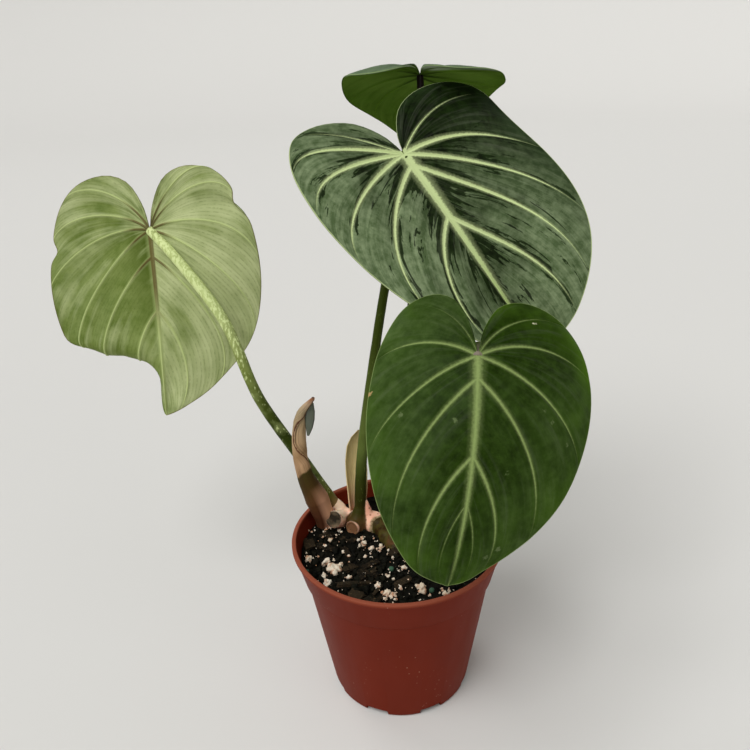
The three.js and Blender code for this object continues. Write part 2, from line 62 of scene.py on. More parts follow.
# %% Camera
IMAGE_WIDTH = 750  # in pixels
FOCAL_LENGTH = 752  # in pixels
SENSOR_WIDTH = 36
CAMERA_PLACE = (-7.3, -294.5, 299.4)
CAMERA_DOWN = 24.5  # degrees below the horizon
CAMERA_ROLL = -2.38

camera = bpy.data.objects.new("camera", bpy.data.cameras.new("camera"))
camera.data.sensor_width = SENSOR_WIDTH
camera.data.lens = SENSOR_WIDTH * FOCAL_LENGTH / IMAGE_WIDTH
camera.data.clip_start = 0.01
pitch = Matrix.Rotation(math.radians(90 - CAMERA_DOWN), 4, "X")
roll = Matrix.Rotation(math.radians(CAMERA_ROLL), 4, "Z")
camera.matrix_world = Matrix.Translation(Vector(CAMERA_PLACE) * MM) @ pitch @ roll
bpy.context.scene.collection.objects.link(camera)
bpy.context.scene.camera = camera
print("lens:", round(camera.data.lens, 2), "mm")

# %% [markdown]
# ## Nodes and colours
#
# Colours are picked as sRGB hex values, which is how a screen shows them, but shaders count in linear
# light. One function turns them over. A second one adds a shader node with its settings and links, so
# that a material reads as a list of what it is made of. The patterns lie on the object's own
# coordinates, so they stay on a piece when it moves.

# %% Helpers for materials
def colour(code):
    """An sRGB hex value as the linear colour that a shader takes."""
    parts = [int(code[i:i + 2], 16) / 255 for i in (1, 3, 5)]
    linear = [p / 12.92 if p <= 0.04045 else ((p + 0.055) / 1.055) ** 2.4 for p in parts]
    return (*linear, 1.0)


def feed(tree, made, inputs):
    """Gives sockets their values: a number, a hex colour, a socket, or a node for its first output."""
    for name, value in inputs.items():
        if isinstance(value, bpy.types.Node):
            value = value.outputs[0]
        if isinstance(value, bpy.types.NodeSocket):
            tree.links.new(value, made.inputs[name])
        elif isinstance(value, str):
            made.inputs[name].default_value = colour(value)
        else:
            made.inputs[name].default_value = value


def add(tree, kind, inputs=None, **settings):
    """Adds a shader node, with its settings and with what feeds its sockets."""
    made = tree.nodes.new("ShaderNode" + kind)
    for name, value in settings.items():
        setattr(made, name, value)
    feed(tree, made, inputs or {})
    return made


def new_material(name):
    """A material with a principled shader that hardly shines: the material, its tree and the shader."""
    made = bpy.data.materials.new(name)
    made.use_nodes = True
    tree = made.node_tree
    tree.nodes.clear()
    shader = add(tree, "BsdfPrincipled", {"Specular IOR Level": 0.07})
    add(tree, "OutputMaterial", {"Surface": shader})
    return made, tree, shader


def patterned(name):
    """A new material, and with it the place on the object that its patterns start from."""
    made, tree, shader = new_material(name)
    return made, tree, shader, add(tree, "TexCoord").outputs["Object"]


def attributes(tree, *names):
    """The values that a mesh carries under these names."""
    return [add(tree, "Attribute", attribute_name=name).outputs["Fac"] for name in names]


def per_mm(size):
    """The scale of a texture whose features are about this many millimetres wide."""
    return 1 / (size * MM)


# %% [markdown]
# ## Light and floor
#
# A soft studio. Three wide suns, each as broad in the sky as a large lamp, light the floor evenly, and a
# pale room fills in the shadows. The floor turns up into a round wall far behind the plant, so that no
# horizon draws the eye from it.

# %% Lights
PLANT_MIDDLE = Vector((0, 0, 0.15))


def wide_sun(name, place, strength, breadth):
    """A sun that shines from a place towards the middle of the plant, and is as broad as a lamp there."""
    light = bpy.data.lights.new(name, "SUN")
    light.energy = strength
    light.angle = math.radians(breadth)
    lamp = bpy.data.objects.new(name, light)
    lamp.rotation_euler = (PLANT_MIDDLE - Vector(place)).to_track_quat("-Z", "Y").to_euler()
    bpy.context.scene.collection.objects.link(lamp)


wide_sun("key", (-0.45, -0.55, 1.15), 2.1, 40)
wide_sun("fill", (0.9, -0.7, 0.5), 0.4, 35)
wide_sun("rear", (-0.7, 0.8, 0.8), 0.7, 35)

world = bpy.data.worlds.new("room")
world.use_nodes = True
room = world.node_tree.nodes["Background"]
room.inputs["Color"].default_value = colour("#f1f0ec")
room.inputs["Strength"].default_value = 0.4
bpy.context.scene.world = world
bpy.context.scene.view_settings.view_transform = "Standard"

# %% Floor
FLAT_FLOOR = 2600  # from the middle to where the floor begins to rise
RISE_RADIUS = 1600
FLOOR_STEPS = 96  # round the full turn


def close(bm):
    """Merges what meets, and turns every face outwards."""
    bmesh.ops.remove_doubles(bm, verts=bm.verts, dist=1e-6)
    bmesh.ops.dissolve_degenerate(bm, edges=bm.edges, dist=1e-7)
    bmesh.ops.recalc_face_normals(bm, faces=bm.faces)


def turned(profile, steps):
    """A bmesh spun round the upright axis from (radius, height) points in millimetres."""
    bm = bmesh.new()
    verts = [bm.verts.new((radius * MM, 0, height * MM)) for radius, height in profile]
    edges = [bm.edges.new(pair) for pair in zip(verts, verts[1:])]
    bmesh.ops.spin(bm, geom=verts + edges, cent=(0, 0, 0), axis=(0, 0, 1),
                   angle=2 * math.pi, steps=steps, use_merge=True)
    close(bm)
    return bm


def plain_object(name, bm):
    """An object that holds a bmesh."""
    mesh = bpy.data.meshes.new(name)
    bm.to_mesh(mesh)
    bm.free()
    made = bpy.data.objects.new(name, mesh)
    bpy.context.scene.collection.objects.link(made)
    return made


bends = np.radians(range(0, 85, 6))
curve = np.column_stack([FLAT_FLOOR + RISE_RADIUS * np.sin(bends), RISE_RADIUS * (1 - np.cos(bends))])
floor_bm = turned([(0, 0), *curve], FLOOR_STEPS)
bmesh.ops.reverse_faces(floor_bm, faces=floor_bm.faces)  # the floor is seen from inside its bowl
for face in floor_bm.faces:
    face.smooth = True
floor = plain_object("floor", floor_bm)
paper, tree, shader = new_material("matt_paper")
feed(tree, shader, {"Base Color": "#d6d5d2", "Roughness": 0.95})
floor.data.materials.append(paper)
print("floor:", len(floor.data.polygons), "faces")

# %% [markdown]
# ## From a grid to a grown form
#
# Leaves, stalks and sheaths are all sheets that grew into a form. So each starts from Blender's grid
# operator, and a formula says where every column and row of it goes. Columns that meet are then merged,
# which closes a tube or the seam of a leaf, and the normals are turned outwards.

# %% Helpers for shapes
def grid(columns, rows):
    """A grid, with the column and the row of each of its vertices."""
    bm = bmesh.new()
    bmesh.ops.create_grid(bm, x_segments=columns, y_segments=rows, size=0.5)
    bm.verts.index_update()
    flat = np.array([vert.co.xy for vert in bm.verts]) + 0.5
    column, row = np.rint(flat * (columns, rows)).astype(int).T
    return bm, column, row


def shape(bm, points, **marks):
    """Puts each vertex at its point, in millimetres, and keeps each set of marks as an attribute."""
    layers = {name: bm.verts.layers.float.new(name) for name in marks}
    for index, vert in enumerate(bm.verts):
        vert.co = points[index] * MM
        for name, layer in layers.items():
            vert[layer] = marks[name][index]


def piece(name, bm, materials, slot, *nodes):
    """The finished object of a bmesh. It rides on the root body and stands for these CAD nodes."""
    for face in bm.faces:
        face.smooth = True
    made = plain_object(name, bm)
    for material in materials:
        made.data.materials.append(material)
    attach(made, "root")
    if nodes:
        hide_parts(*nodes)
    size = [round(side / MM) for side in made.dimensions]
    print(name, len(made.data.polygons), "faces,", size, "mm")
    return made


def smooth(x):
    """0 below 0, 1 above 1, and a soft step between."""
    x = np.clip(x, 0, 1)
    return x * x * (3 - 2 * x)


def along(values, x):
    """The value of a list that is spread evenly from 0 to 1."""
    return np.interp(np.clip(x, 0, 1) * (len(values) - 1), range(len(values)), values)


def unit(vectors):
    """Each vector at a length of 1."""
    return vectors / np.maximum(np.linalg.norm(vectors, axis=-1, keepdims=True), 1e-9)


def ripple(points, size, seed=0):
    """Smooth noise from -1 to 1 at each point, with features of about that many millimetres."""
    return np.array([noise.noise(Vector(p) / size + Vector((0, 0, seed))) for p in points])


# %% [markdown]
# ## The pot
#
# A nursery pot is moulded in one shot from polypropylene, so it is a thin shell with a wider band and a
# rolled lip that stiffen its rim, and drainage notches cut up into its foot. It is turned: a profile is
# spun round the axis, its corners get a small radius, and boxes cut the notches.

# %% Turn the pot
low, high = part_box("pot")
RIM = high.x / MM
HEIGHT = high.z / MM
FOOT = 34
BODY = 44.4  # radius just under the band
SHOULDER = 45.6  # radius at the band's lower edge
WALL = 1.3
POT_FLOOR = 1.6  # its thickness
BAND = 16.7  # height of the band, with the lip
LIP = 1.8
LIP_DEPTH = 2  # from the rim inwards
POT_STEPS = 160
BODY_LEAN = (BODY - FOOT) / (HEIGHT - BAND)
BAND_LEAN = 3.6 / (BAND - LIP)
band_low = HEIGHT - BAND
lip_low = HEIGHT - LIP


def rounded(bm, edges, radius, segments):
    """Rounds some edges of a bmesh, by a radius in millimetres."""
    bmesh.ops.bevel(bm, geom=edges, offset=radius * MM, offset_type="OFFSET", segments=segments,
                    profile=0.5, affect="EDGES", clamp_overlap=True, material=-1)


profile = [
    (0, 0), (FOOT - 0.8, 0), (FOOT, 0.9), (BODY, band_low - 0.4), (SHOULDER, band_low),
    (RIM - 0.8, lip_low - 0.2), (RIM, lip_low), (RIM, HEIGHT),
    (RIM - LIP_DEPTH, HEIGHT), (RIM - LIP_DEPTH, lip_low), (SHOULDER - WALL, band_low + 0.6),
    (BODY - 0.2 - WALL, band_low - 1), (FOOT + BODY_LEAN * POT_FLOOR - WALL, POT_FLOOR), (0, POT_FLOOR),
]
pot_bm = turned(profile, POT_STEPS)
corners = [e for e in pot_bm.edges if len(e.link_faces) == 2 and e.calc_face_angle(0) > math.radians(20)]
rounded(pot_bm, corners, 0.35, 3)
print("pot:", round(2 * RIM), "mm across,", round(HEIGHT), "mm high,", len(corners), "edges rounded")

# %% Cut the drainage notches
NOTCHES = 8
NOTCH = (10, 11, 6.4)  # outwards, round the foot and upwards
cutter_bm = bmesh.new()
for index in range(NOTCHES):
    turn = Matrix.Rotation((index + 0.5) / NOTCHES * 2 * math.pi, 4, "Z")
    size = Matrix.Diagonal((*[side * MM for side in NOTCH], 1))
    place = turn @ Matrix.Translation((FOOT * MM, 0, 0)) @ size
    bmesh.ops.create_cube(cutter_bm, size=1, matrix=place)
outward_edges = [
    e for e in cutter_bm.edges
    if abs((e.verts[0].co - e.verts[1].co).xy.length - NOTCH[0] * MM) < 1e-6
]
rounded(cutter_bm, outward_edges, 0.9, 4)


def settled(made):
    """A bmesh of an object with its modifiers applied. The object is removed."""
    graph = bpy.context.evaluated_depsgraph_get()
    bm = bmesh.new()
    bm.from_object(made, graph)
    bpy.data.objects.remove(made)
    return bm


blank = plain_object("pot_blank", pot_bm)
cutter = plain_object("notch_cutter", cutter_bm)
boolean = blank.modifiers.new("notches", "BOOLEAN")
boolean.object = cutter
boolean.solver = "EXACT"
pot_bm = settled(blank)
bpy.data.objects.remove(cutter)
print("notches cut:", NOTCHES, "faces:", len(pot_bm.faces))

# %% [markdown]
# ## Moulded polypropylene
#
# Polypropylene comes out of the mould with a fine satin skin: it has a soft, wide highlight and no
# texture until the eye is close. This one is dyed terracotta. The dye shows lighter where the wall is
# thin, at the lip, and handling has left faint rubbed streaks and pale dust specks.

# %% Pot material
def moulded_plastic():
    made, tree, shader, where = patterned("moulded_polypropylene")
    height = add(tree, "SeparateXYZ", {"Vector": where}).outputs["Z"]
    cloud = add(tree, "TexNoise", {"Vector": where, "Scale": per_mm(22), "Detail": 4.0})
    dye = add(tree, "MixRGB", {"Fac": cloud, "Color1": "#67200f", "Color2": "#742816"})
    lip = add(tree, "MapRange", {"Value": height, "From Min": lip_low * MM, "From Max": HEIGHT * MM})
    dust = add(tree, "TexVoronoi", {"Vector": where, "Scale": per_mm(3.2)})
    speck = add(tree, "MapRange", {"Value": dust, "From Min": 0.11, "From Max": 0.04})
    patch = add(tree, "TexNoise", {"Vector": where, "Scale": per_mm(25), "Detail": 2.0})
    here = add(tree, "MapRange", {"Value": patch, "From Min": 0.5, "From Max": 0.75})
    amount = add(tree, "Math", {0: speck, 1: here}, operation="MULTIPLY")
    thinner = add(tree, "MixRGB", {"Fac": lip, "Color1": dye, "Color2": "#8f4c38"})
    dusty = add(tree, "MixRGB", {"Fac": amount, "Color1": thinner, "Color2": "#c9a48f"})
    streaks = add(tree, "Mapping", {"Vector": where, "Scale": (1, 1, 0.15)})
    rub = add(tree, "TexNoise", {"Vector": streaks, "Scale": per_mm(6), "Detail": 5.0})
    rough = add(tree, "MapRange", {"Value": rub, "To Min": 0.4, "To Max": 0.58})
    skin = add(tree, "TexNoise", {"Vector": where, "Scale": per_mm(0.7), "Detail": 2.0})
    bump = add(tree, "Bump", {"Height": skin, "Strength": 0.15, "Distance": 0.05 * MM})
    feed(tree, shader, {"Base Color": dusty, "Roughness": rough, "Normal": bump,
                        "Specular IOR Level": 0.04})
    return made


pot = piece("pot_shell", pot_bm, [moulded_plastic()], "pot", "pot")
pot.data.set_sharp_from_angle(angle=math.radians(40))

# %% [markdown]
# ## The potting mix
#
# A mix for aroids is mostly black peat crumbs, opened up with white perlite and flat chips of bark. The
# bulk of it is one turned body that fills the pot. Its top is roughened with noise and then covered with
# loose crumbs. A thousand crumbs are too many to add one by one, so an Array modifier repeats one small
# lump, and each copy is then squashed, turned and moved on its own.

# %% Body of the mix
SOIL_LEVEL = 73.5  # at the wall
SOIL_MOUND = 1.2  # how much higher the middle is
SOIL_BASE = 1.9  # just above the pot's floor
CLEAR = 0.3  # between the mix and the wall
SOIL_RADIUS = SHOULDER - WALL + BAND_LEAN * (SOIL_LEVEL - band_low) - CLEAR
TOP_ROWS = 90
SOIL_STEPS = 200
rng = np.random.default_rng(7)


def soil_top(radius):
    """Height of the mix at a distance from the pot's axis."""
    return SOIL_LEVEL + SOIL_MOUND * (1 - (radius / SOIL_RADIUS) ** 2)


side_profile = [(0, SOIL_BASE), (FOOT - WALL - 0.5, SOIL_BASE), (BODY - WALL - 0.5, band_low - 1.6),
                (SHOULDER - WALL - 0.6, band_low + 1.2)]
top_profile = [(r, soil_top(r)) for r in np.linspace(SOIL_RADIUS, 0, TOP_ROWS)]
profile = np.array(side_profile + top_profile)
soil_bm, column, row = grid(SOIL_STEPS, len(profile) - 1)
angle = column / SOIL_STEPS * 2 * math.pi
radius, height = profile[row].T
points = np.stack([radius * np.cos(angle), radius * np.sin(angle), height], -1)
on_top = (row >= len(side_profile)) * smooth((SOIL_RADIUS - radius) / 2)
rough_top = 1.1 * ripple(points, 7) + 0.7 * ripple(points, 2.6, 3) + 0.35 * ripple(points, 1.1, 9)
points[:, 2] += on_top * (rough_top - 0.4)
shape(soil_bm, points, tone=np.full(len(points), 0.3))
close(soil_bm)
print("mix:", round(SOIL_LEVEL, 1), "mm high at the wall")

# %% Scatter crumbs
LEVEL_TILT = 0.14  # how far from level a flat lump lies, as an angle in radians


def turns(count):
    """Random rotation matrices."""
    return np.array([Quaternion(spin).to_matrix() for spin in unit(rng.normal(size=(count, 4)))])


def lumps(template, places, sizes, jag, level=False):
    """Copies of a small bmesh, each jagged, sized, turned and placed, with a tone of its own. Flat
    lumps lie nearly level, and others are turned any way."""
    corner = len(template.verts)
    one = plain_object("lump", template)
    array = one.modifiers.new("copies", "ARRAY")
    array.count = len(places)
    array.relative_offset_displace = (0, 0, 2)
    bm = settled(one)
    start = np.array([vert.co for vert in bm.verts][:corner])
    knobs = np.array([ripple(start * 1.3, 1, 3.7 * n) + 0.3 * ripple(start * 3, 1, 5.1 * n)
                      for n in range(len(places))])
    forms = start * (1 + jag * knobs)[:, :, None] * sizes[:, None, :]
    spin = turns(len(places))
    if level:
        tilt = rng.normal(0, LEVEL_TILT, (len(places), 2))
        heading = rng.uniform(0, 2 * math.pi, len(places))
        spin = np.array([
            Matrix.Rotation(a, 3, "X") @ Matrix.Rotation(b, 3, "Y") @ Matrix.Rotation(c, 3, "Z")
            for a, b, c in zip(*tilt.T, heading)
        ])
    points = np.einsum("nij,nkj->nki", spin, forms) + places[:, None, :]
    tone = np.repeat(rng.uniform(0, 1, len(places)), corner)
    shape(bm, points.reshape(-1, 3), tone=tone)
    bmesh.ops.recalc_face_normals(bm, faces=bm.faces)
    return bm


def on_mix(flat, lift):
    """Points that stand this high over the mix at places seen from above."""
    return np.column_stack([flat, soil_top(np.hypot(*flat.T)) + lift])


def scattered(count, margin, lift):
    """Random places on the mix, in from the wall by a margin."""
    radius = (SOIL_RADIUS - margin) * np.sqrt(rng.uniform(0, 1, count))
    angle = rng.uniform(0, 2 * math.pi, count)
    return on_mix(np.column_stack([radius * np.cos(angle), radius * np.sin(angle)]), lift)


def ball(subdivisions):
    """An icosphere of radius 1."""
    bm = bmesh.new()
    bmesh.ops.create_icosphere(bm, subdivisions=subdivisions, radius=1)
    return bm


def absorb(bm, other):
    """Adds a second bmesh to the first."""
    mesh = bpy.data.meshes.new("part")
    other.to_mesh(mesh)
    other.free()
    bm.from_mesh(mesh)
    bpy.data.meshes.remove(mesh)


CRUMBS = 1100
crumb_size = rng.uniform(0.5, 1, (CRUMBS, 1)) ** 2 * rng.uniform(0.9, 2.2, (CRUMBS, 3))
crumbs = lumps(ball(2), scattered(CRUMBS, 1.8, -0.1), crumb_size, 0.9)
absorb(soil_bm, crumbs)
print("crumbs:", CRUMBS)

# %% [markdown]
# ## Peat
#
# Damp peat is almost black with a brown cast, and every crumb has its own shade. It is matt, apart from a
# little shine where a fibre is wet.

# %% Mix material
def peat():
    made, tree, shader, where = patterned("damp_peat")
    (tone,) = attributes(tree, "tone")
    grain = add(tree, "TexNoise", {"Vector": where, "Scale": per_mm(1.6), "Detail": 6.0})
    base = add(tree, "MixRGB", {"Fac": tone, "Color1": "#060604", "Color2": "#17170f"})
    mixed = add(tree, "MapRange", {"Value": grain, "From Min": 0.5, "From Max": 0.75})
    brown = add(tree, "MixRGB", {"Fac": mixed, "Color1": base, "Color2": "#1b1810"})
    fine = add(tree, "TexNoise", {"Vector": where, "Scale": per_mm(0.35), "Detail": 3.0})
    bump = add(tree, "Bump", {"Height": fine, "Strength": 0.6, "Distance": 0.2 * MM})
    rough = add(tree, "MapRange", {"Value": grain, "To Min": 0.55, "To Max": 0.95})
    feed(tree, shader, {"Base Color": brown, "Roughness": rough, "Normal": bump})
    return made


piece("potting_mix", soil_bm, [peat()], "soil", "soil")

# %% [markdown]
# ## Perlite and feed granules
#
# Perlite is volcanic glass puffed up like popcorn: white, very light lumps with a pitted skin. The large
# ones at the front are listed one by one, and the fine ones are scattered. A few round blue-green granules
# are slow-release plant food.

# %% Perlite
BIG_PERLITE = [  # x, y and radius
    (-29.4, -16.5, 3.2), (-33.7, -10.7, 2.3), (-26.7, -12.6, 1.5), (-30.2, -8.5, 0.8), (-42.3, -7.1, 1.8),
    (-34.9, 1.7, 1.5), (-32.4, 6.3, 1.6), (-44.2, 16.3, 1.0), (-32.4, -24.8, 2.1), (-34.5, -19.7, 1.6),
    (-22.8, -21.9, 1.4), (-16, 2.4, 1.5), (-16.5, 6.4, 1.2), (-12.3, -2.2, 1.6), (-7.9, -0.9, 1.4),
    (-15.3, -7.8, 1.1), (-10.3, -11.5, 1.0), (2.2, -17.4, 1.5), (-5.4, -22.3, 1.4), (-10, -28.6, 1.8),
    (-6, -33.5, 1.6), (-3.4, -35, 1.8), (-7, -36.7, 1.3), (9.1, -31.8, 3.2), (19.6, -35.4, 1.6),
    (21.4, -32.9, 1.1), (8.4, -38.3, 0.9), (-34.8, 15.2, 1.1), (-28.4, 14.3, 1.0), (-2.6, -9, 0.8),
]
LOOSE_PERLITE = 140
CLUSTERED_PERLITE = 130  # bits that lie close to a large one
CLUSTER = 3.2  # how far they spread
big = np.array(BIG_PERLITE)
big_places = on_mix(big[:, :2], 0.4 * big[:, 2])
big_sizes = big[:, 2:] * rng.uniform(0.6, 1, (len(big), 3))
perlite_bm = lumps(ball(3), big_places, big_sizes, 0.8)
hosts = big_places[rng.integers(0, len(big), CLUSTERED_PERLITE)]
near_hosts = hosts + rng.normal(0, CLUSTER, (CLUSTERED_PERLITE, 3))
radius = np.hypot(*near_hosts[:, :2].T)
near_hosts[:, :2] *= np.minimum(1, (SOIL_RADIUS - 1.5) / radius)[:, None]
near_hosts[:, 2] = soil_top(np.minimum(radius, SOIL_RADIUS)) + 0.7
bits = np.vstack([near_hosts, scattered(LOOSE_PERLITE, 1.5, 0.8)])
bit_sizes = 0.2 + 0.7 * rng.uniform(0, 1, (len(bits), 1))**3 * rng.uniform(0.6, 1.3, (len(bits), 3))
absorb(perlite_bm, lumps(ball(2), bits, bit_sizes, 1.0))


def puffed_glass():
    made, tree, shader, where = patterned("expanded_perlite")
    (tone,) = attributes(tree, "tone")
    cloud = add(tree, "TexNoise", {"Vector": where, "Scale": per_mm(2), "Detail": 4.0})
    warm = add(tree, "MixRGB", {"Fac": tone, "Color1": "#dccbb2", "Color2": "#ece2d0"})
    stain = add(tree, "MapRange", {"Value": cloud, "From Min": 0.48, "From Max": 0.64})
    stained = add(tree, "MixRGB", {"Fac": stain, "Color1": warm, "Color2": "#c08e6c"})
    pits = add(tree, "TexVoronoi", {"Vector": where, "Scale": per_mm(0.6)})
    bump = add(tree, "Bump", {"Height": pits, "Strength": 0.7, "Distance": 0.2 * MM})
    feed(tree, shader, {"Base Color": stained, "Roughness": 0.85, "Normal": bump})
    return made


piece("perlite", perlite_bm, [puffed_glass()], "soil")

# %% Feed granules
GRANULES = np.array([  # x, y and radius
    (-3.5, -17.4, 1.3), (13.8, -32.4, 1.25), (-42.4, -15.3, 0.9), (22, 8, 1.2), (-6, 34, 1.1),
])
granule_sizes = np.repeat(GRANULES[:, 2:], 3, axis=1)
granules_bm = lumps(ball(3), on_mix(GRANULES[:, :2], 0.5), granule_sizes, 0.1)
coated, tree, shader, where = patterned("coated_granule")
cloud = add(tree, "TexNoise", {"Vector": where, "Scale": per_mm(1), "Detail": 3.0})
coat = add(tree, "MixRGB", {"Fac": cloud, "Color1": "#27402f", "Color2": "#4c6f58"})
feed(tree, shader, {"Base Color": coat, "Roughness": 0.4})
piece("feed_granules", granules_bm, [coated], "soil")

# %% [markdown]
# ## Bark
#
# Bark splits along its grain into flat chips with ragged ends. One chip is a box, cut into a few slices
# so that its corners can be worn away, and its material has fibres that run along it.

# %% Bark chips
BIG_BARK = [  # x, y, length, width and heading in degrees
    (-42.8, 5, 9.5, 4.6, 32), (-34.2, 0.8, 10, 4.2, -62), (-17.2, -20.1, 9, 3.2, -8),
    (-20, -25.9, 15, 2.6, 6), (1.3, -26.5, 9, 3.6, 80), (-19.5, -33.7, 7, 5, 15),
    (-12.8, -37.3, 6, 3.5, 10), (-1.5, -5.6, 7, 3.2, 70), (-24, -4, 8, 2.6, -30), (-13, -14, 8, 2.4, 25),
]
SMALL_BARK = 34
CHIP_THICKNESS = 1.6  # of a large chip
CORNER_REACH = 2.5  # past this sum of its coordinates, a point of the chip is at a corner
chip_bm = bmesh.new()
bmesh.ops.create_cube(chip_bm, size=2)
bmesh.ops.subdivide_edges(chip_bm, edges=chip_bm.edges, cuts=2, use_grid_fill=True)
for vert in chip_bm.verts:
    vert.co *= 1 - 0.09 * (abs(vert.co.x) + abs(vert.co.y) + abs(vert.co.z) > CORNER_REACH)
big = np.array(BIG_BARK)
places = np.vstack([on_mix(big[:, :2], 0.5), scattered(SMALL_BARK, 6, 0.4)])
sizes = np.vstack([
    np.column_stack([big[:, 2:4], np.full(len(big), CHIP_THICKNESS)]) / 2,
    rng.uniform((1.6, 0.7, 0.4), (4.2, 1.6, 0.8), (SMALL_BARK, 3)),
])
bark_bm = lumps(chip_bm, places, sizes, 0.5, level=True)


def bark_fibre():
    made, tree, shader, where = patterned("pine_bark")
    (tone,) = attributes(tree, "tone")
    fibre = add(tree, "TexNoise", {"Vector": where, "Scale": per_mm(1.2), "Detail": 8.0, "Distortion": 1.5})
    base = add(tree, "MixRGB", {"Fac": tone, "Color1": "#100e0a", "Color2": "#2e261b"})
    light = add(tree, "MapRange", {"Value": fibre, "From Min": 0.52, "From Max": 0.7})
    wear_and_sheen = add(tree, "MixRGB", {"Fac": light, "Color1": base, "Color2": "#4a3c29"})
    bump = add(tree, "Bump", {"Height": fibre, "Strength": 0.8, "Distance": 0.3 * MM})
    feed(tree, shader, {"Base Color": wear_and_sheen, "Roughness": 0.85, "Normal": bump})
    return made


bark = piece("bark_chips", bark_bm, [bark_fibre()], "soil")
bark.data.set_sharp_from_angle(angle=math.radians(50))

# %% [markdown]
# ## The form of a leaf
#
# A gloriosum leaf is a heart. Its main veins fan out from the stalk and curve towards the margin, and
# the blade is pulled in along each of them and bulges between. So a leaf is easiest to think of flat
# first: one number, the fan, says which vein a point lies nearest to, and another, the reach, says how
# far along that vein it is. Columns of the grid then run along the veins, and the blade can be folded
# at its midrib, arched, and bent down towards its tip.

# %% The four leaves
HEART = np.array([  # across as a share of the width, and along as a share of the lobe or the length
    (0, 0), (0.055, -0.42), (0.2, -0.84), (0.44, -1), (0.72, -0.86), (0.92, -0.4),
    (1, 0.08), (0.95, 0.34), (0.76, 0.62), (0.44, 0.845), (0.17, 0.955), (0, 1),
])
# Angles are in degrees, and a pair of them is for the lobe and the tip, or for the first and the last
# vein. A wave is its height, count and phase. The haze and sheen runs from the lobe round to the tip. On
# the face it says how much grey haze shows, which is partly the velvet's own bloom and partly a painted
# reflection of the sky, and on the underside how silvery it is, partly a painted highlight; below zero is
# plain green. A faint vein, named by its number, shows with only this share of its strength.
LEAVES = {
    "left": dict(
        attach=(-113.9, 70.3, 215.6), heading=185.4, slope=107.7, roll=-4.3, length=91.2, droop=4,
        bend=-0.4, vein=0.7, vein_start=(0, 0, 0, 0, 0.14, 0.43),
        right=dict(
            width=57.8, lobe=28.7, lobe_droop=6.7, fold=(-29, 10.5), arch=-8.5, wave=(1.5, 3, 0),
            leave=(35, 35), arrive=(77, 42), vein_end=(0.29, 0.36, 0.515, 0.685, 0.84, 0.965),
            dent=dict(at=0.39, reach=0.03, depth=0.08), haze=(0.8, 0.9, 0.9, 1.2, 1.1, 0.8, 0.5)),
        left=dict(
            width=53.5, lobe=29, lobe_droop=-4.3, fold=(21.5, -17.5), arch=21, wave=(1.5, 3, 0.5),
            leave=(40, 36), arrive=(60, 31), vein_end=(0.32, 0.43, 0.55, 0.75, 0.84, 0.945),
            dent=dict(at=0.465, reach=0.02, depth=0.05), haze=(0.4, 0.6, 0.3, -0.1, -0.5, -0.2, 0),
            curl=dict(start=(33, 50.5), end=(0, 59.5), radius=6.2, turn=120))),
    "big": dict(
        attach=(8.8, 33.4, 252), heading=63.7, slope=50.7, roll=-39.6, length=109.7, droop=25,
        bend=-7.5, vein=1.05, vein_start=(0, 0, 0, 0, 0.05, 0.29, 0.42),
        right=dict(
            width=56.5, lobe=28, lobe_droop=31, fold=(12.5, 38.5), arch=-8.5, wave=(1, 3, 0),
            leave=(16, 36), arrive=(59, 47), vein_end=(0.265, 0.335, 0.415, 0.53, 0.685, 0.81, 0.94),
            faint={1: 0.6, 7: 0.16}, haze=(0.55, 0.8, 0.9, 1, 1, 1, 1)),
        left=dict(
            width=62.5, lobe=21.5, lobe_droop=15, fold=(0, 51), arch=29, wave=(1, 3, 0.5),
            leave=(37, 1), arrive=(33, 30), vein_end=(0.225, 0.36, 0.525, 0.675, 0.785, 0.87, 0.95),
            faint={1: 0.04, 2: 0.6, 7: 0.16}, haze=(0.02, 0, 0, 0.25, 0.65, 0.95, 1, 1))),
    "front": dict(
        attach=(29.4, -49.5, 193.5), heading=-6.3, slope=37.8, roll=4.7, length=86.6, droop=59,
        bend=6.9, vein=0.75, vein_start=(0, 0, 0, 0.1, 0.42, 0.61),
        right=dict(
            width=41.1, lobe=31.9, lobe_droop=13, fold=(-11, 17), arch=25, wave=(0.8, 3, 0.2),
            leave=(31, 28), arrive=(40, 36), vein_end=(0.27, 0.42, 0.66, 0.83, 0.92, 0.985),
            faint={1: 0.6, 6: 0.65}, haze=(0.5, 0.45, 0.4, 0.35, 0.2, 0.1)),
        left=dict(
            width=47.5, lobe=28.3, lobe_droop=13, fold=(-4.5, -5), arch=32, wave=(0.8, 3, 0.7),
            leave=(36, 19), arrive=(42, 27), vein_end=(0.3, 0.43, 0.65, 0.83, 0.93, 0.98),
            faint={1: 0.75, 6: 0.65}, haze=(0.05, 0, 0.25, 0.35, 0.2, 0.1))),
    "back": dict(
        attach=(19.6, 83.8, 280.7), heading=172, slope=22.6, roll=2, length=75.7, droop=26,
        bend=1.9, vein=0.6, vein_start=(0, 0, 0, 0.04, 0.2, 0.45),
        right=dict(
            width=39.7, lobe=28.9, lobe_droop=26, fold=(-7.6, 23.6), arch=-4, wave=(0.8, 3, 0),
            leave=(30, 20), arrive=(40, 36), vein_end=(0.26, 0.4, 0.6, 0.78, 0.88, 0.95), haze=(0.7, 0.7)),
        left=dict(
            width=37.7, lobe=34, lobe_droop=31, fold=(2, 14), arch=17, wave=(0.8, 3, 0.5),
            leave=(30, 20), arrive=(40, 36), vein_end=(0.26, 0.4, 0.6, 0.78, 0.88, 0.95), haze=(0.7, 0.7))),
}
SIDES = {"right": 1, "left": -1}  # as seen from the stalk, looking at the tip
print("leaves:", {name: leaf["length"] for name, leaf in LEAVES.items()})

# %% A leaf laid flat
CURVE_STEPS = 40


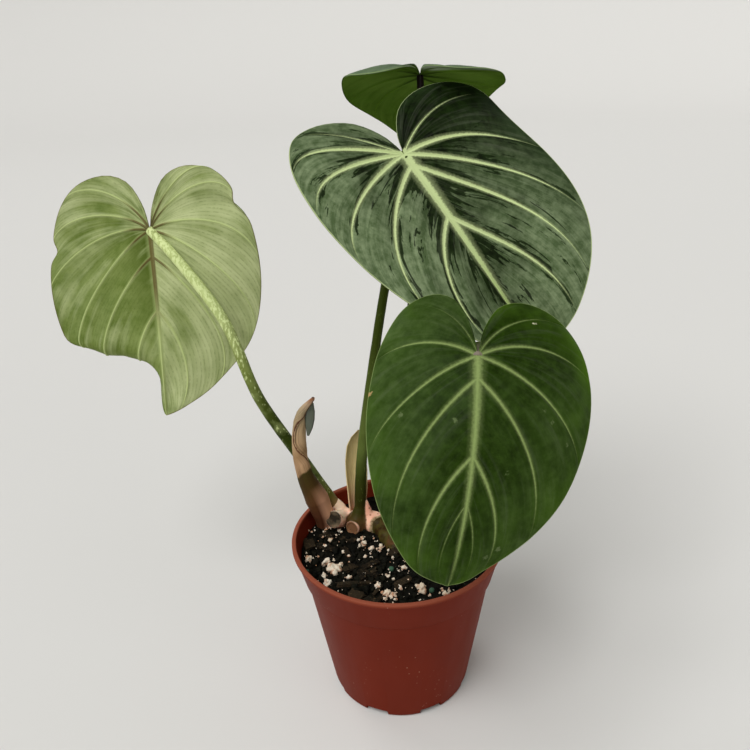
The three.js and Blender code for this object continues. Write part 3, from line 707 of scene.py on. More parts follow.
def curve_through(points, steps=CURVE_STEPS):
    """Points along a smooth Catmull-Rom curve."""
    held = np.vstack([points[:1], points, points[-1:]])
    t = (np.arange(steps) / steps)[:, None]
    parts = []
    for a, b, c, d in zip(held, held[1:], held[2:], held[3:]):
        parts.append(0.5 * (2 * b + (c - a) * t + (2 * a - 5 * b + 4 * c - d) * t**2
                            + (3 * b - a - 3 * c + d) * t**3))
    return np.vstack(parts + [points[-1:]])


def gone_along(curve):
    """The share of a curve's length that lies before each of its points."""
    gone = np.concatenate([[0], np.cumsum(np.linalg.norm(np.diff(curve, axis=0), axis=1))])
    return gone / gone[-1]


def read_at(shares, gone, rows):
    """Rows that hold at some shares of a curve, read off at others."""
    return np.stack([np.interp(shares, gone, column) for column in rows.T], -1)


def between(pair, share):
    """A value on the way from the first of a pair to the second."""
    return pair[0] + (pair[1] - pair[0]) * share


def margin_at(leaf, half, share):
    """Points of the margin, at shares of its length from the stalk round the lobe to the tip."""
    across, ahead = HEART.T
    outline = [across * half["width"], ahead * np.where(ahead < 0, half["lobe"], leaf["length"])]
    curve = curve_through(np.stack(outline, -1))
    found = read_at(share, gone_along(curve), curve)
    if "dent" in half:  # a small bite that draws the margin in
        dent = half["dent"]
        found[:, 0] *= 1 - dent["depth"] * np.exp(-((share - dent["at"]) / dent["reach"])**2)
    return found


def swung(vectors, degrees):
    """Flat vectors turned by an angle."""
    x, y = vectors.T
    turn = np.radians(degrees)
    return np.stack([x * np.cos(turn) - y * np.sin(turn), x * np.sin(turn) + y * np.cos(turn)], -1)


def on_vein(leaf, half, fan, reach):
    """The flat place of each point: across from the midrib, and along it."""
    last = len(leaf["vein_start"]) + 1
    root = np.zeros((len(fan), 2))
    root[:, 1] = along([0, *leaf["vein_start"], 1], fan / last) * leaf["length"]
    end = margin_at(leaf, half, along([0, *half["vein_end"], 1], fan / last))
    rank = np.clip((fan - 1) / (last - 2), 0, 1)
    fade = np.where(fan < 1, fan**2, np.minimum(1, last - fan))
    third = (end - root) / 3
    leave = root + swung(third, -fade * between(half["leave"], rank))
    arrive = end - swung(third, fade * between(half["arrive"], rank))
    s = reach[:, None]
    flat = root * (1 - s)**3 + leave * 3 * s * (1 - s)**2 + arrive * 3 * s**2 * (1 - s) + end * s**3
    flat[:, 0] = np.maximum(flat[:, 0], 0)
    return flat


# %% Fold, arch and droop
CURL_EASE = 12  # a curl fades out this near the midrib
NUDGE = 0.1  # a step along the blade, to find which way its face looks


def arc(turn, distance):
    """Length along and height of an arc that turns by an angle in each millimetre."""
    turn = np.where(np.abs(turn) < 1e-6, 1e-6, turn)
    return np.sin(turn * distance) / turn, (1 - np.cos(turn * distance)) / turn


def curled(half, flat):
    """Turns up what lies beyond a line of the blade: the new place, and the height."""
    if "curl" not in half:
        return flat, np.zeros(len(flat))
    curl = half["curl"]
    line = unit(np.subtract(curl["end"], curl["start"]).astype(float))
    beyond = np.array([line[1], -line[0]])
    distance = np.maximum((flat - curl["start"]) @ beyond, 0)
    rolled = np.minimum(distance / curl["radius"], math.radians(curl["turn"]))
    straight = distance - rolled * curl["radius"]
    ahead = curl["radius"] * np.sin(rolled) + straight * np.cos(rolled)
    height = curl["radius"] * (1 - np.cos(rolled)) + straight * np.sin(rolled)
    near = smooth(flat[:, 0] / CURL_EASE)
    return flat + ((ahead - distance) * near)[:, None] * beyond, height * near


def bent(leaf, half, side, flat):
    """A flat point in the leaf's own axes: across, ahead and up."""
    place, lift = curled(half, flat)
    u, v = place.T
    fold = np.radians(between(half["fold"], smooth(v / leaf["length"])))
    span, sag = arc(math.radians(half["arch"]) / half["width"], u)
    across = span * np.cos(fold) + (sag - lift) * np.sin(fold)
    height = span * np.sin(fold) - (sag - lift) * np.cos(fold)
    turn = np.where(v > 0, math.radians(leaf["droop"]) / leaf["length"],
                    math.radians(half["lobe_droop"]) / half["lobe"])
    ahead, drop = arc(turn, v)
    bend = leaf["bend"] * np.maximum(0, v / leaf["length"])**2
    return np.stack([side * across + bend, ahead + height * np.sin(turn * v),
                     height * np.cos(turn * v) - drop], -1)


def upward(leaf, half, side, flat):
    """The direction that the upper face looks in. It turns gently from one half to the other."""
    along_u, along_v = (
        bent(leaf, half, side, flat + step) - bent(leaf, half, side, flat - step)
        for step in np.eye(2) * NUDGE
    )
    turn = math.radians(leaf["droop"]) / leaf["length"] * np.maximum(flat[:, 1], 0)
    middle = np.stack([np.zeros(len(turn)), np.sin(turn), np.cos(turn)], -1)
    share = smooth(flat[:, 0] / 3)[:, None]
    return unit(middle * (1 - share) + side * unit(np.cross(along_u, along_v)) * share)


def leaf_axes(leaf):
    """Directions of a leaf at its stalk: across to the right, ahead to the tip, and up from its face."""
    yaw, pitch, bank = (math.radians(leaf[name]) for name in ("heading", "slope", "roll"))
    level = np.array([-math.cos(yaw), -math.sin(yaw), 0])
    ahead = np.array([math.sin(yaw) * math.cos(pitch), -math.cos(yaw) * math.cos(pitch), -math.sin(pitch)])
    face = np.cross(level, ahead)
    across = level * math.cos(bank) + face * math.sin(bank)
    return np.array([across, ahead, face * math.cos(bank) - level * math.sin(bank)])


# %% [markdown]
# ## Veins, thickness and rim
#
# A real blade is about half a millimetre thick. Each half is one grid that runs from the midrib over the
# upper face, round a soft rim, and back along the underside. Near a vein the upper face dips and the
# underside stands out as a rib. A faint vein counts as further away than it is, which makes it narrower
# and lower. The distances that shape the veins are kept on the mesh too, so that the colours can follow
# the same veins exactly.

# %% Relief of a blade
BLADE = 0.5  # its thickness
QUILT = 0.9  # how far the blade bulges up between its veins
RIB = 0.8  # how far a vein stands out below
VALLEY = 0.3  # how far it dips above
VEIN_STEPS = 22  # columns from one vein to the next
FACE_ROWS = 44
RIM_ROWS = 4
MIDRIB_WIDTH = 1.9  # half of it, at the stalk
VEIN_WIDTH = 0.85
VEIN_REACH = 8  # in vein widths, how far from it a vein still tells
FAINT_GAP = 3  # millimetres further away for a vein that is all but gone
FAR_OFF = 99


def vein_distance(leaf, half, fan, reach, flat):
    """Distance to the nearest vein, square to it. Fainter veins count as being further away."""
    found = np.full(len(fan), float(FAR_OFF))
    for vein in range(1, len(leaf["vein_start"]) + 1):
        close_by = np.abs(fan - vein) <= 1
        same = np.full(close_by.sum(), float(vein))
        s = reach[close_by]
        here, ahead, behind = (
            on_vein(leaf, half, same, at) for at in (s, np.minimum(s + 0.01, 1), np.maximum(s - 0.01, 0))
        )
        way = unit(ahead - behind)
        gap = flat[close_by] - here
        strength = half.get("faint", {}).get(vein, 1)
        distance = np.abs(gap[:, 0] * way[:, 1] - gap[:, 1] * way[:, 0]) / strength
        found[close_by] = np.minimum(found[close_by], distance + FAINT_GAP * (1 - strength)**2)
    return found


def half_blade(leaf, half, side, seed):
    """A bmesh of one half: upper face, rim and underside."""
    veins = len(leaf["vein_start"])
    columns, rows = (veins + 1) * VEIN_STEPS, 2 * FACE_ROWS + RIM_ROWS
    bm, column, row = grid(columns, rows)
    fan = column // VEIN_STEPS + (1 - np.cos(math.pi * (column % VEIN_STEPS) / VEIN_STEPS)) / 2
    from_midrib = np.clip(np.minimum(row, rows - row) / FACE_ROWS, 0, 1)
    reach = (1 - np.cos(math.pi * from_midrib)) / 2
    flat = on_vein(leaf, half, fan, reach)
    u, v = flat.T

    vein_gap = vein_distance(leaf, half, fan, reach, flat)
    vein_width = VEIN_WIDTH * leaf["vein"] * (1 - 0.75 * reach)
    midrib_width = MIDRIB_WIDTH * leaf["vein"] * (1 - 0.8 * np.clip(v / leaf["length"], 0, 1))
    midrib = np.where(v > -midrib_width, u / midrib_width, FAR_OFF)
    rib = np.minimum(np.minimum(vein_gap / vein_width, midrib), VEIN_REACH)
    rim = on_vein(leaf, half, fan, np.ones(len(fan)))
    edge = np.linalg.norm(rim - flat, axis=1)

    wave, count, phase = half["wave"]
    around = fan / (veins + 1)
    flutter = wave * reach**3 * np.sin(math.pi * around) * np.sin(2 * math.pi * (count * around + phase))
    quilt = np.sin(math.pi * (fan % 1))**2 * np.sin(math.pi * reach)
    folds = np.sin(3 * math.pi * (fan % 1))**2 * np.sin(math.pi * reach)
    plane = np.column_stack([side * u, v, np.full(len(u), seed)])
    loose = 0.45 * ripple(plane, 14) + 0.16 * ripple(plane, 5, 5)
    relief = QUILT * quilt + 0.14 * folds + flutter + loose * smooth(edge / 3) * smooth(rib / 4)

    ridge = np.exp(-np.minimum(rib, 5)**2)
    angle = math.pi / 2 - math.pi * np.clip((row - FACE_ROWS) / RIM_ROWS, 0, 1)
    level = BLADE / 2 * np.sin(angle)
    upper = row < FACE_ROWS + RIM_ROWS / 2
    groove = np.where(upper, -VALLEY, -RIB * (1 - 0.7 * reach)) * ridge * smooth(edge / 2)
    up = upward(leaf, half, side, flat)
    outward = unit(bent(leaf, half, side, flat * 1.01) - bent(leaf, half, side, flat))
    rounding = (BLADE / 2 * np.cos(angle) * smooth(u / 2))[:, None]
    local = bent(leaf, half, side, flat) + up * (relief + level + groove)[:, None] + outward * rounding
    points = np.array(leaf["attach"]) + local @ leaf_axes(leaf)

    away = np.hypot(3.2 * u, v) / leaf["length"]
    shape(bm, points, fan=fan, reach=reach, rib=rib, edge=edge, haze=along(half["haze"], around),
          away=away, half=np.full(len(fan), float(side)))
    for face in bm.faces:
        face.material_index = int(min(row[vert.index] for vert in face.verts) >= FACE_ROWS + RIM_ROWS / 2)
    return bm


# %% [markdown]
# ## The upper skin
#
# The upper face of a gloriosum leaf is velvet: its cells stand up as tiny cones, which scatter light and
# lay a grey-green haze over a deep green. That haze is partly the velvet's own bloom and partly a painted
# reflection of the sky, and grey streaks along the veins are a painted sheen. The haze has fine streaks
# that run with the veins, drifts in clouds and thins towards the stalk. Where it is left out, mostly in
# flame shapes beside the veins, the deep green shows. The veins are pale lime with feathered edges,
# because the colour is in the skin and not on it. They fade before the margin, where a thin pale line
# runs round. A leaf that has been out for some time is also marked here and there, and each mark is a
# round spot with a ragged edge.

# %% Upper skin material
def upper_skin(name, deep, green, haze_pale, haze_deep, vein, fresh, flame=0.5, halo=0.3, sheen=0.3,
               core=(1.35, 1.85), marks=()):
    """Velvet. Each of its colours is a layer over those before it, shown where its mask is 1."""
    made, tree, shader, where = patterned(name)
    fan, reach, rib, edge, haze, half = attributes(tree, "fan", "reach", "rib", "edge", "haze", "half")
    lengthways = add(tree, "CombineXYZ", {"X": fan, "Y": reach, "Z": half})
    drawn = add(tree, "Mapping", {"Vector": lengthways, "Scale": (7, 1.4, 3.1)})
    bands = add(tree, "TexNoise", {"Vector": drawn, "Scale": 1.0, "Detail": 6.0, "Roughness": 0.6,
                                   "Distortion": 0.5})
    licking = add(tree, "Mapping", {"Vector": lengthways, "Scale": (5.2, 3.0, 3.7)})
    tongues = add(tree, "TexNoise", {"Vector": licking, "Scale": 1.0, "Detail": 7.0, "Roughness": 0.62,
                                     "Distortion": 0.8})
    mottle = add(tree, "TexNoise", {"Vector": where, "Scale": per_mm(4), "Detail": 7.0, "Roughness": 0.65})
    cloud = add(tree, "TexNoise", {"Vector": where, "Scale": per_mm(20), "Detail": 3.0})

    tone = add(tree, "MapRange", {"Value": mottle, "From Min": 0.36, "From Max": 0.66})
    skin = add(tree, "MixRGB", {"Fac": tone, "Color1": deep, "Color2": green})
    young = add(tree, "Math", {0: reach, 1: 2.5}, operation="POWER")
    patchy = add(tree, "MapRange", {"Value": cloud, "From Min": 0.36, "From Max": 0.62})
    young_patch = add(tree, "Math", {0: young, 1: patchy}, operation="MULTIPLY")
    # Painted sheen: grey streaks along the veins, where the ridges would catch the light.
    wear_and_sheen = add(tree, "MapRange", {"Value": bands, "From Min": 0.52, "From Max": 0.64, "To Max": sheen})

    # The grey haze is partly the velvet's bloom and partly a painted reflection of the sky. The haze and
    # sheen value says how much shows on each part, and in the flames it is left out.
    blend = add(tree, "MixRGB", {"Fac": 0.5, "Color1": bands, "Color2": mottle})
    silver = add(tree, "MapRange", {"Value": blend, "From Min": 0.41, "From Max": 0.6})
    haze_tone = add(tree, "MixRGB", {"Fac": silver, "Color1": haze_deep, "Color2": haze_pale})
    beside = add(tree, "MapRange", {"Value": rib, "From Min": VEIN_REACH, "From Max": 1.5, "To Max": 0.14})
    inner = add(tree, "MapRange", {"Value": reach, "From Min": 0.95, "From Max": 0.15, "To Max": 0.11})
    pull = add(tree, "Math", {0: beside, 1: inner}, operation="ADD")
    burnt = add(tree, "Math", {0: tongues, 1: pull}, operation="ADD")
    haze_left_out = add(tree, "MapRange", {"Value": burnt, "From Min": 0.66, "From Max": 0.674, "To Max": flame})
    covered = add(tree, "Math", {0: 1.0, 1: haze_left_out}, operation="SUBTRACT")
    drift = add(tree, "Math", {0: cloud, 1: 1.6, 2: reach}, operation="MULTIPLY_ADD")
    outer = add(tree, "MapRange", {"Value": drift, "From Min": 0.8, "From Max": 1.36, "To Min": 0.3})
    thick = add(tree, "Math", {0: haze, 1: outer}, operation="MULTIPLY")
    shown = add(tree, "Math", {0: covered, 1: thick}, operation="MULTIPLY")

    feather = add(tree, "TexNoise", {"Vector": where, "Scale": per_mm(0.9), "Detail": 4.0})
    frayed = add(tree, "Math", {0: feather, 1: 1.2, 2: rib}, operation="MULTIPLY_ADD")
    fading = add(tree, "Math", {0: reach, 1: 5.0}, operation="POWER")
    far = add(tree, "Math", {0: fading, 1: 2.2, 2: frayed}, operation="MULTIPLY_ADD")
    glow = add(tree, "MapRange", {"Value": far, "From Min": 3.4, "From Max": 1.5, "To Max": halo})
    heart = add(tree, "MapRange", {"Value": far, "From Min": core[1], "From Max": core[0]})
    line = add(tree, "MapRange", {"Value": edge, "From Min": 0.5, "From Max": 0.1, "To Max": 0.6})

    layers = [(young_patch, fresh), (wear_and_sheen, "#5c6053"), (shown, haze_tone), (glow, vein), (heart, vein),
              (line, vein)]
    for place, size, stain in marks:
        gap = add(tree, "VectorMath", {0: where, 1: place * MM}, operation="DISTANCE").outputs["Value"]
        ragged = add(tree, "Math", {0: feather, 1: 2 * size * MM, 2: gap}, operation="MULTIPLY_ADD")
        spot = add(tree, "MapRange", {"Value": ragged, "From Min": 1.9 * size * MM,
                                      "From Max": 1.5 * size * MM})
        layers.append((spot, stain))
    for mask, tint in layers:
        skin = add(tree, "MixRGB", {"Fac": mask, "Color1": skin, "Color2": tint})

    relief = add(tree, "Math", {0: bands, 1: 0.4, 2: mottle}, operation="MULTIPLY_ADD")
    bump = add(tree, "Bump", {"Height": relief, "Strength": 0.35, "Distance": 0.3 * MM})
    rough = add(tree, "MapRange", {"Value": shown, "To Min": 0.4, "To Max": 0.6})
    feed(tree, shader, {"Base Color": skin, "Roughness": rough, "Normal": bump,
                        "Specular IOR Level": 0.03})
    return made

# %% [markdown]
# ## The underside
#
# The underside is paler, smooth and slightly silvery, because air lies between its skin and the green
# tissue. That shows as soft bands and clouds, and the skin is deeper green near the stalk. Part of the
# silver, most at the lobes, is a painted highlight of the sky. Fine parallel veins show as pinstripes
# about a millimetre apart. The ribs are brown near the stalk and turn lime outwards, the margin has a
# thin reddish line, and a rolled lobe shows a grey bloom.

# %% Underside material
STRIPES = 62.8  # ten pinstripes from one vein to the next, as an angle


def under_skin(name, base, stripe, silver, shade, rib_young, rib_old, stripes=0.3, hem=0.0,
               gloss=0.07):
    made, tree, shader, where = patterned(name)
    fan, reach, rib, edge, haze, away, half = attributes(
        tree, "fan", "reach", "rib", "edge", "haze", "away", "half")
    lengthways = add(tree, "CombineXYZ", {"X": fan, "Y": reach, "Z": half})
    stretched = add(tree, "Mapping", {"Vector": lengthways, "Scale": (3.4, 1.3, 2.9)})
    bands = add(tree, "TexNoise", {"Vector": stretched, "Scale": 1.0, "Detail": 4.0, "Roughness": 0.55})
    mottle = add(tree, "TexNoise", {"Vector": where, "Scale": per_mm(9), "Detail": 5.0, "Roughness": 0.6})
    fine = add(tree, "TexNoise", {"Vector": where, "Scale": per_mm(1.4), "Detail": 3.0})

    tone = add(tree, "MapRange", {"Value": mottle, "From Min": 0.36, "From Max": 0.66})
    skin = add(tree, "MixRGB", {"Fac": tone, "Color1": base, "Color2": stripe})
    # Part of the silver, most at the lobes, is a painted highlight of the sky on the smooth underside.
    cloud = add(tree, "TexNoise", {"Vector": where, "Scale": per_mm(26), "Detail": 3.0})
    drift = add(tree, "Math", {0: cloud, 1: 0.9, 2: bands}, operation="MULTIPLY_ADD")
    leaning = add(tree, "Math", {0: haze, 1: 0.3, 2: drift}, operation="MULTIPLY_ADD")
    silver_and_highlight = add(tree, "MapRange", {"Value": leaning, "From Min": 0.93, "From Max": 1.36, "To Max": 0.95})
    inner = add(tree, "MapRange", {"Value": away, "From Min": 0.62, "From Max": 0.12})
    gloom = add(tree, "MapRange", {"Value": leaning, "From Min": 1.15, "From Max": 0.92})
    shaded = add(tree, "Math", {0: inner, 1: gloom}, operation="MULTIPLY")

    wander = add(tree, "Math", {0: bands, 1: 9.0}, operation="MULTIPLY")
    spread = add(tree, "Math", {0: fan, 1: STRIPES, 2: wander}, operation="MULTIPLY_ADD")
    sine = add(tree, "Math", {0: spread}, operation="SINE")
    thin = add(tree, "MapRange", {"Value": sine, "From Min": 0.2, "From Max": 1.0})
    broken = add(tree, "MapRange", {"Value": fine, "From Min": 0.38, "From Max": 0.6, "To Max": stripes})
    lines = add(tree, "Math", {0: thin, 1: broken}, operation="MULTIPLY")
    lobe = add(tree, "MapRange", {"Value": fan, "From Min": 1.9, "From Max": 1.6, "To Max": hem})
    outer = add(tree, "Math", {0: half, 1: 0.3, 2: reach}, operation="MULTIPLY_ADD")
    rolled = add(tree, "MapRange", {"Value": outer, "From Min": 0.45, "From Max": 0.6})
    bloom = add(tree, "Math", {0: lobe, 1: rolled}, operation="MULTIPLY")

    old = add(tree, "MapRange", {"Value": away, "From Min": 0.58, "From Max": 0.3})
    rib_colour = add(tree, "MixRGB", {"Fac": old, "Color1": rib_young, "Color2": rib_old})
    halo = add(tree, "MapRange", {"Value": rib, "From Min": 3.0, "From Max": 0.9, "To Max": 0.4})
    core = add(tree, "MapRange", {"Value": rib, "From Min": 1.35, "From Max": 0.8, "To Max": 0.82})
    line = add(tree, "MapRange", {"Value": edge, "From Min": 0.5, "From Max": 0.1, "To Max": 0.6})
    for mask, tint in ((silver_and_highlight, silver), (shaded, shade), (lines, shade), (bloom, "#8d9a84"),
                       (halo, rib_young), (core, rib_colour), (line, rib_old)):
        skin = add(tree, "MixRGB", {"Fac": mask, "Color1": skin, "Color2": tint})

    heights = add(tree, "Math", {0: sine, 1: 0.12, 2: mottle}, operation="MULTIPLY_ADD")
    bump = add(tree, "Bump", {"Height": heights, "Strength": 0.35, "Distance": 0.3 * MM})
    feed(tree, shader, {"Base Color": skin, "Roughness": 0.5, "Normal": bump,
                        "Specular IOR Level": gloss})
    return made


# %% [markdown]
# ## Four leaves of different ages
#
# All four are one species and one form, but no two have the same skin. The big one is the hazy one, with
# the brightest veins. The front one is a fresher green, with a pale spot, a tan nick at its margin and a
# few scuffs, whose pale gloss is a painted sheen. The left one is young and shows its lime underside, and
# the one at the back has a clear mid-green underside. Two halves make a blade, and their shared midrib is
# merged.

# %% Grow the leaves
YOUNG_FACE = dict(deep="#1b2e12", green="#2f4820", fresh="#4f6a2c")
UPPER = {
    "left": dict(YOUNG_FACE, haze_pale="#5c6e4c", haze_deep="#48593a", vein="#a4b87a"),
    "big": dict(deep="#090f04", green="#1b2b0d", haze_pale="#84946f", haze_deep="#50623f", vein="#c6d69a",
                fresh="#23331a", flame=0.92, halo=0.4, sheen=0.2),
    "front": dict(deep="#152402", green="#263b09", haze_pale="#506238", haze_deep="#34481d", vein="#84965a",
                  fresh="#3f5c12", flame=0.3, halo=0.25, sheen=0.12, core=(0.7, 2.1)),
    "back": dict(YOUNG_FACE, haze_pale="#6f8068", haze_deep="#5a6b52", vein="#8fa56a"),
}
GREEN_UNDERSIDE = dict(base="#5d7040", stripe="#485a2c", silver="#7e8a58", shade="#33441a",
                       rib_young="#8ba04e", rib_old="#5b4a2a")
UNDER = {
    "left": dict(base="#7a894a", stripe="#5f7130", silver="#b7c08c", shade="#4a5b1c", rib_young="#b3c180",
                 rib_old="#5f4e29"),
    "big": GREEN_UNDERSIDE,
    "front": GREEN_UNDERSIDE,
    "back": dict(base="#435f1c", stripe="#3a5215", silver="#526c28", shade="#2c400c", rib_young="#4a671c",
                 rib_old="#34471a", stripes=0.15, hem=1.0, gloss=0.0),
}


def on_face(name, side_name, fan, reach):
    """A point on the face of a leaf."""
    leaf, half = LEAVES[name], LEAVES[name][side_name]
    flat = on_vein(leaf, half, np.array([fan]), np.array([reach]))
    local = bent(leaf, half, SIDES[side_name], flat)
    return (np.array(leaf["attach"]) + local @ leaf_axes(leaf))[0]


# Scuffs on the front leaf: pale spots whose gloss is a painted sheen.
SHEEN_SCUFFS = [("left", 3.25, 0.47), ("left", 3.25, 0.55), ("left", 3.2, 0.73), ("left", 4.55, 0.38),
          ("left", 4.85, 0.84), ("left", 5.3, 0.8), ("right", 3.2, 0.58), ("right", 4.3, 0.17)]
UPPER["front"]["marks"] = [  # place, size in millimetres and colour
    (on_face("front", "left", 1.15, 0.62), 1.2, "#d8d6b4"),
    (on_face("front", "right", 2.4, 0.985), 1.7, "#a58a5c"),
    *[(on_face("front", *sheen_scuff), 1.3, "#56653e") for sheen_scuff in SHEEN_SCUFFS],
]
for number, (name, leaf) in enumerate(LEAVES.items()):
    blade_bm = bmesh.new()
    for side_name, side in SIDES.items():
        absorb(blade_bm, half_blade(leaf, leaf[side_name], side, 10 * number))
    close(blade_bm)
    skins = [upper_skin(f"velvet_{name}", **UPPER[name]), under_skin(f"underside_{name}", **UNDER[name])]
    piece(f"blade_{name}", blade_bm, skins, "blade", f"leaf_{name}")

# %% [markdown]
# ## Stalks
#
# A petiole is a long round stem, thicker and slightly flared at its foot. It is a tube: a grid rolled
# round a smooth curve. Its columns carry the share of the way up, so that the colour can change from the
# pink and olive foot to the green top, as it does on the plant.

# %% Sweep along a curve
def eased_curve(points, steps=60):
    """Points along a centripetal Catmull-Rom curve."""
    held = np.vstack([2 * points[0] - points[1], points, 2 * points[-1] - points[-2]])
    t = (np.arange(steps) / steps)[:, None]
    parts = []
    for a, b, c, d in zip(held, held[1:], held[2:], held[3:]):
        before, here, after = (np.sqrt(np.linalg.norm(q - p)) for p, q in ((a, b), (b, c), (c, d)))
        leave = here * ((b - a) / before - (c - a) / (before + here) + (c - b) / here)
        arrive = here * ((c - b) / here - (d - b) / (here + after) + (d - c) / after)
        parts.append(b + leave * t + (3 * (c - b) - 2 * leave - arrive) * t**2
                     + (2 * (b - c) + leave + arrive) * t**3)
    return np.vstack(parts + [points[-1:]])


def route(points, shares, facing=(0, -1, 0)):
    """Even places along a curve, with two directions across it. The first looks to `facing`."""
    curve = eased_curve(np.array(points, float))
    gone = gone_along(curve)
    centre = read_at(shares, gone, curve)
    way = unit(read_at(shares, gone, np.gradient(curve, gone, axis=0)))
    front = unit(np.array(facing) - way * (way @ np.array(facing))[:, None])
    return centre, front, np.cross(way, front)


def tube(points, radii, sides, steps, facing=(0, -1, 0), texture=None):
    """A bmesh tube with closed ends. texture(rise, angle) changes its radius in millimetres."""
    bm, column, row = grid(sides, steps + 2)
    rise = np.clip((row - 1) / steps, 0, 1)
    angle = column / sides * 2 * math.pi
    centre, front, across = route(points, rise, facing)
    radius = along(radii, rise)
    if texture:
        radius = radius + texture(rise, angle)
    radius = np.where((row == 0) | (row == steps + 2), 0, radius)
    ring = np.cos(angle)[:, None] * front + np.sin(angle)[:, None] * across
    shape(bm, centre + ring * radius[:, None], rise=rise)
    return bm


PETIOLES = {
    "left": dict(
        points=[(-27, 26, 76), (-32.5, 28, 84.3), (-44.1, 33, 102.4), (-64.7, 38.5, 137.6),
                (-78.4, 44.5, 176.7), (-99, 56, 204)],
        radii=[3.2, 2.9, 2.7, 2.6, 2.6, 2.3]),
    "big": dict(
        points=[(-17.5, 19.5, 77), (-17.2, 20, 88), (-15, 24, 114), (-5, 33, 173), (2.3, 41, 209),
                (7, 42, 243)],
        radii=[2.9, 2.6, 2.3, 2.1, 2, 1.9]),
    "front": dict(
        points=[(-1.5, 2, 73), (2, 2, 89), (10, 2, 104), (24, 1, 132), (32, -11, 163),
                (31.4, -36, 191.5)],
        radii=[3.2, 2.7, 2.4, 2.2, 2, 1.7]),
    "back": dict(
        points=[(-4.5, 12, 75), (-2, 18, 97), (3.3, 30, 138), (11.7, 44, 183), (17.2, 60, 227),
                (19.2, 76, 268)],
        radii=[3, 2.5, 2.1, 1.9, 1.8, 1.6]),
}

# %% [markdown]
# ## Stalk skin
#
# Each stalk has a gradient along its length, from foot to top, and fine pale flecks drawn out along it.
# The stalk of the young leaf is the lime one, so thickly flecked near its top that it looks frosted.

# %% Stalk material
def set_stops(ramp, stops):
    """Gives a colour ramp its stops, each a place from 0 to 1 and a hex colour."""
    elements = ramp.color_ramp.elements
    while len(elements) < len(stops):
        elements.new(0.5)
    for element, (place, code) in zip(elements, stops):
        element.position = place
        element.color = colour(code)


def stalk_skin(name, stops, fleck, frost=0.0):
    made, tree, shader, where = patterned(name)
    (rise,) = attributes(tree, "rise")
    skin = add(tree, "ValToRGB", {"Fac": rise})
    set_stops(skin, stops)
    drawn = add(tree, "Mapping", {"Vector": where, "Scale": (1, 1, 0.35)})
    spots = add(tree, "TexNoise", {"Vector": drawn, "Scale": per_mm(1.1), "Detail": 5.0})
    cloud = add(tree, "TexNoise", {"Vector": where, "Scale": per_mm(7), "Detail": 3.0})
    high_up = add(tree, "MapRange", {"Value": rise, "From Min": 0.4, "From Max": 0.75, "To Max": frost})
    more = add(tree, "Math", {0: spots, 1: high_up}, operation="ADD")
    flecked = add(tree, "MapRange", {"Value": more, "From Min": 0.62, "From Max": 0.74})
    shade = add(tree, "MapRange", {"Value": cloud, "From Min": 0.45, "From Max": 0.7, "To Max": 0.3})
    for mask, tint in ((shade, stops[-2][1]), (flecked, fleck)):
        skin = add(tree, "MixRGB", {"Fac": mask, "Color1": skin, "Color2": tint})
    bump = add(tree, "Bump", {"Height": spots, "Strength": 0.3, "Distance": 0.2 * MM})
    feed(tree, shader, {"Base Color": skin, "Roughness": 0.45, "Normal": bump})
    return made


STALK_SKINS = {
    "left": dict(stops=[(0, "#a5785c"), (0.07, "#5a5822"), (0.14, "#3c4a12"), (0.3, "#2b360a"),
                        (0.42, "#4a551e"), (0.52, "#75823d"), (0.62, "#9aa766"), (0.72, "#bccb85"),
                        (0.94, "#b4c27c"), (1, "#8f9a5c")], fleck="#d5e2a0", frost=0.2),
    "big": dict(stops=[(0, "#4a3a1c"), (0.06, "#2f2e0c"), (0.13, "#353d10"), (0.22, "#5a6830"),
                       (0.5, "#37420f"), (1, "#3c4a18")], fleck="#5e6c30"),
    "front": dict(stops=[(0, "#6a4a34"), (0.1, "#333c10"), (0.7, "#3c4818"), (0.93, "#4a5424"),
                         (1, "#8d7f76")], fleck="#5a6630"),
    # Painted shade: the near-black top of the back stalk stands for the shadow it lies in.
    "back": dict(stops=[(0, "#6a4a34"), (0.1, "#333c10"), (0.6, "#2c3412"), (0.85, "#1c1614"),
                        (1, "#1f1617")], fleck="#3c4620"),
}
STALK_STEPS = 150
TOP_GAP = 0.35  # from the middle of the blade down to the middle of the stalk's end
KNOB_HEIGHT = 0.09
KNOB_SIZE = 2.2
for number, (name, stalk) in enumerate(PETIOLES.items()):
    leaf = LEAVES[name]
    top = np.array(leaf["attach"]) - leaf_axes(leaf)[2] * TOP_GAP
    points = [*stalk["points"], tuple(top)]

    def knobbly(rise, angle, seed=number):
        """Small swellings."""
        ring = np.stack([np.cos(angle) * 3, np.sin(angle) * 3, rise * 60], -1)
        return KNOB_HEIGHT * ripple(ring, KNOB_SIZE, 20 * seed)

    bm = tube(points, stalk["radii"], 32, STALK_STEPS, texture=knobbly)
    close(bm)
    skin = stalk_skin(f"stalk_skin_{name}", **STALK_SKINS[name])
    slot = "petiole_lime" if name == "left" else "petiole"
    piece(f"stalk_{name}", bm, [skin], slot, f"petiole_{name}")

# %% [markdown]
# ## The rhizome
#
# The rhizome is a fleshy stem that creeps over the mix. It has a ring at every node, where a leaf once
# stood, and two old leaf stalks were cut off it, which left round, sunken scars. A small bud scale stands
# behind the upright stalk, and a short anchor root reaches down into the mix. Separate tubes would meet
# in hard creases, so they are put together and remeshed with small voxels, which welds them into one
# skin, and that skin is then smoothed and roughened.

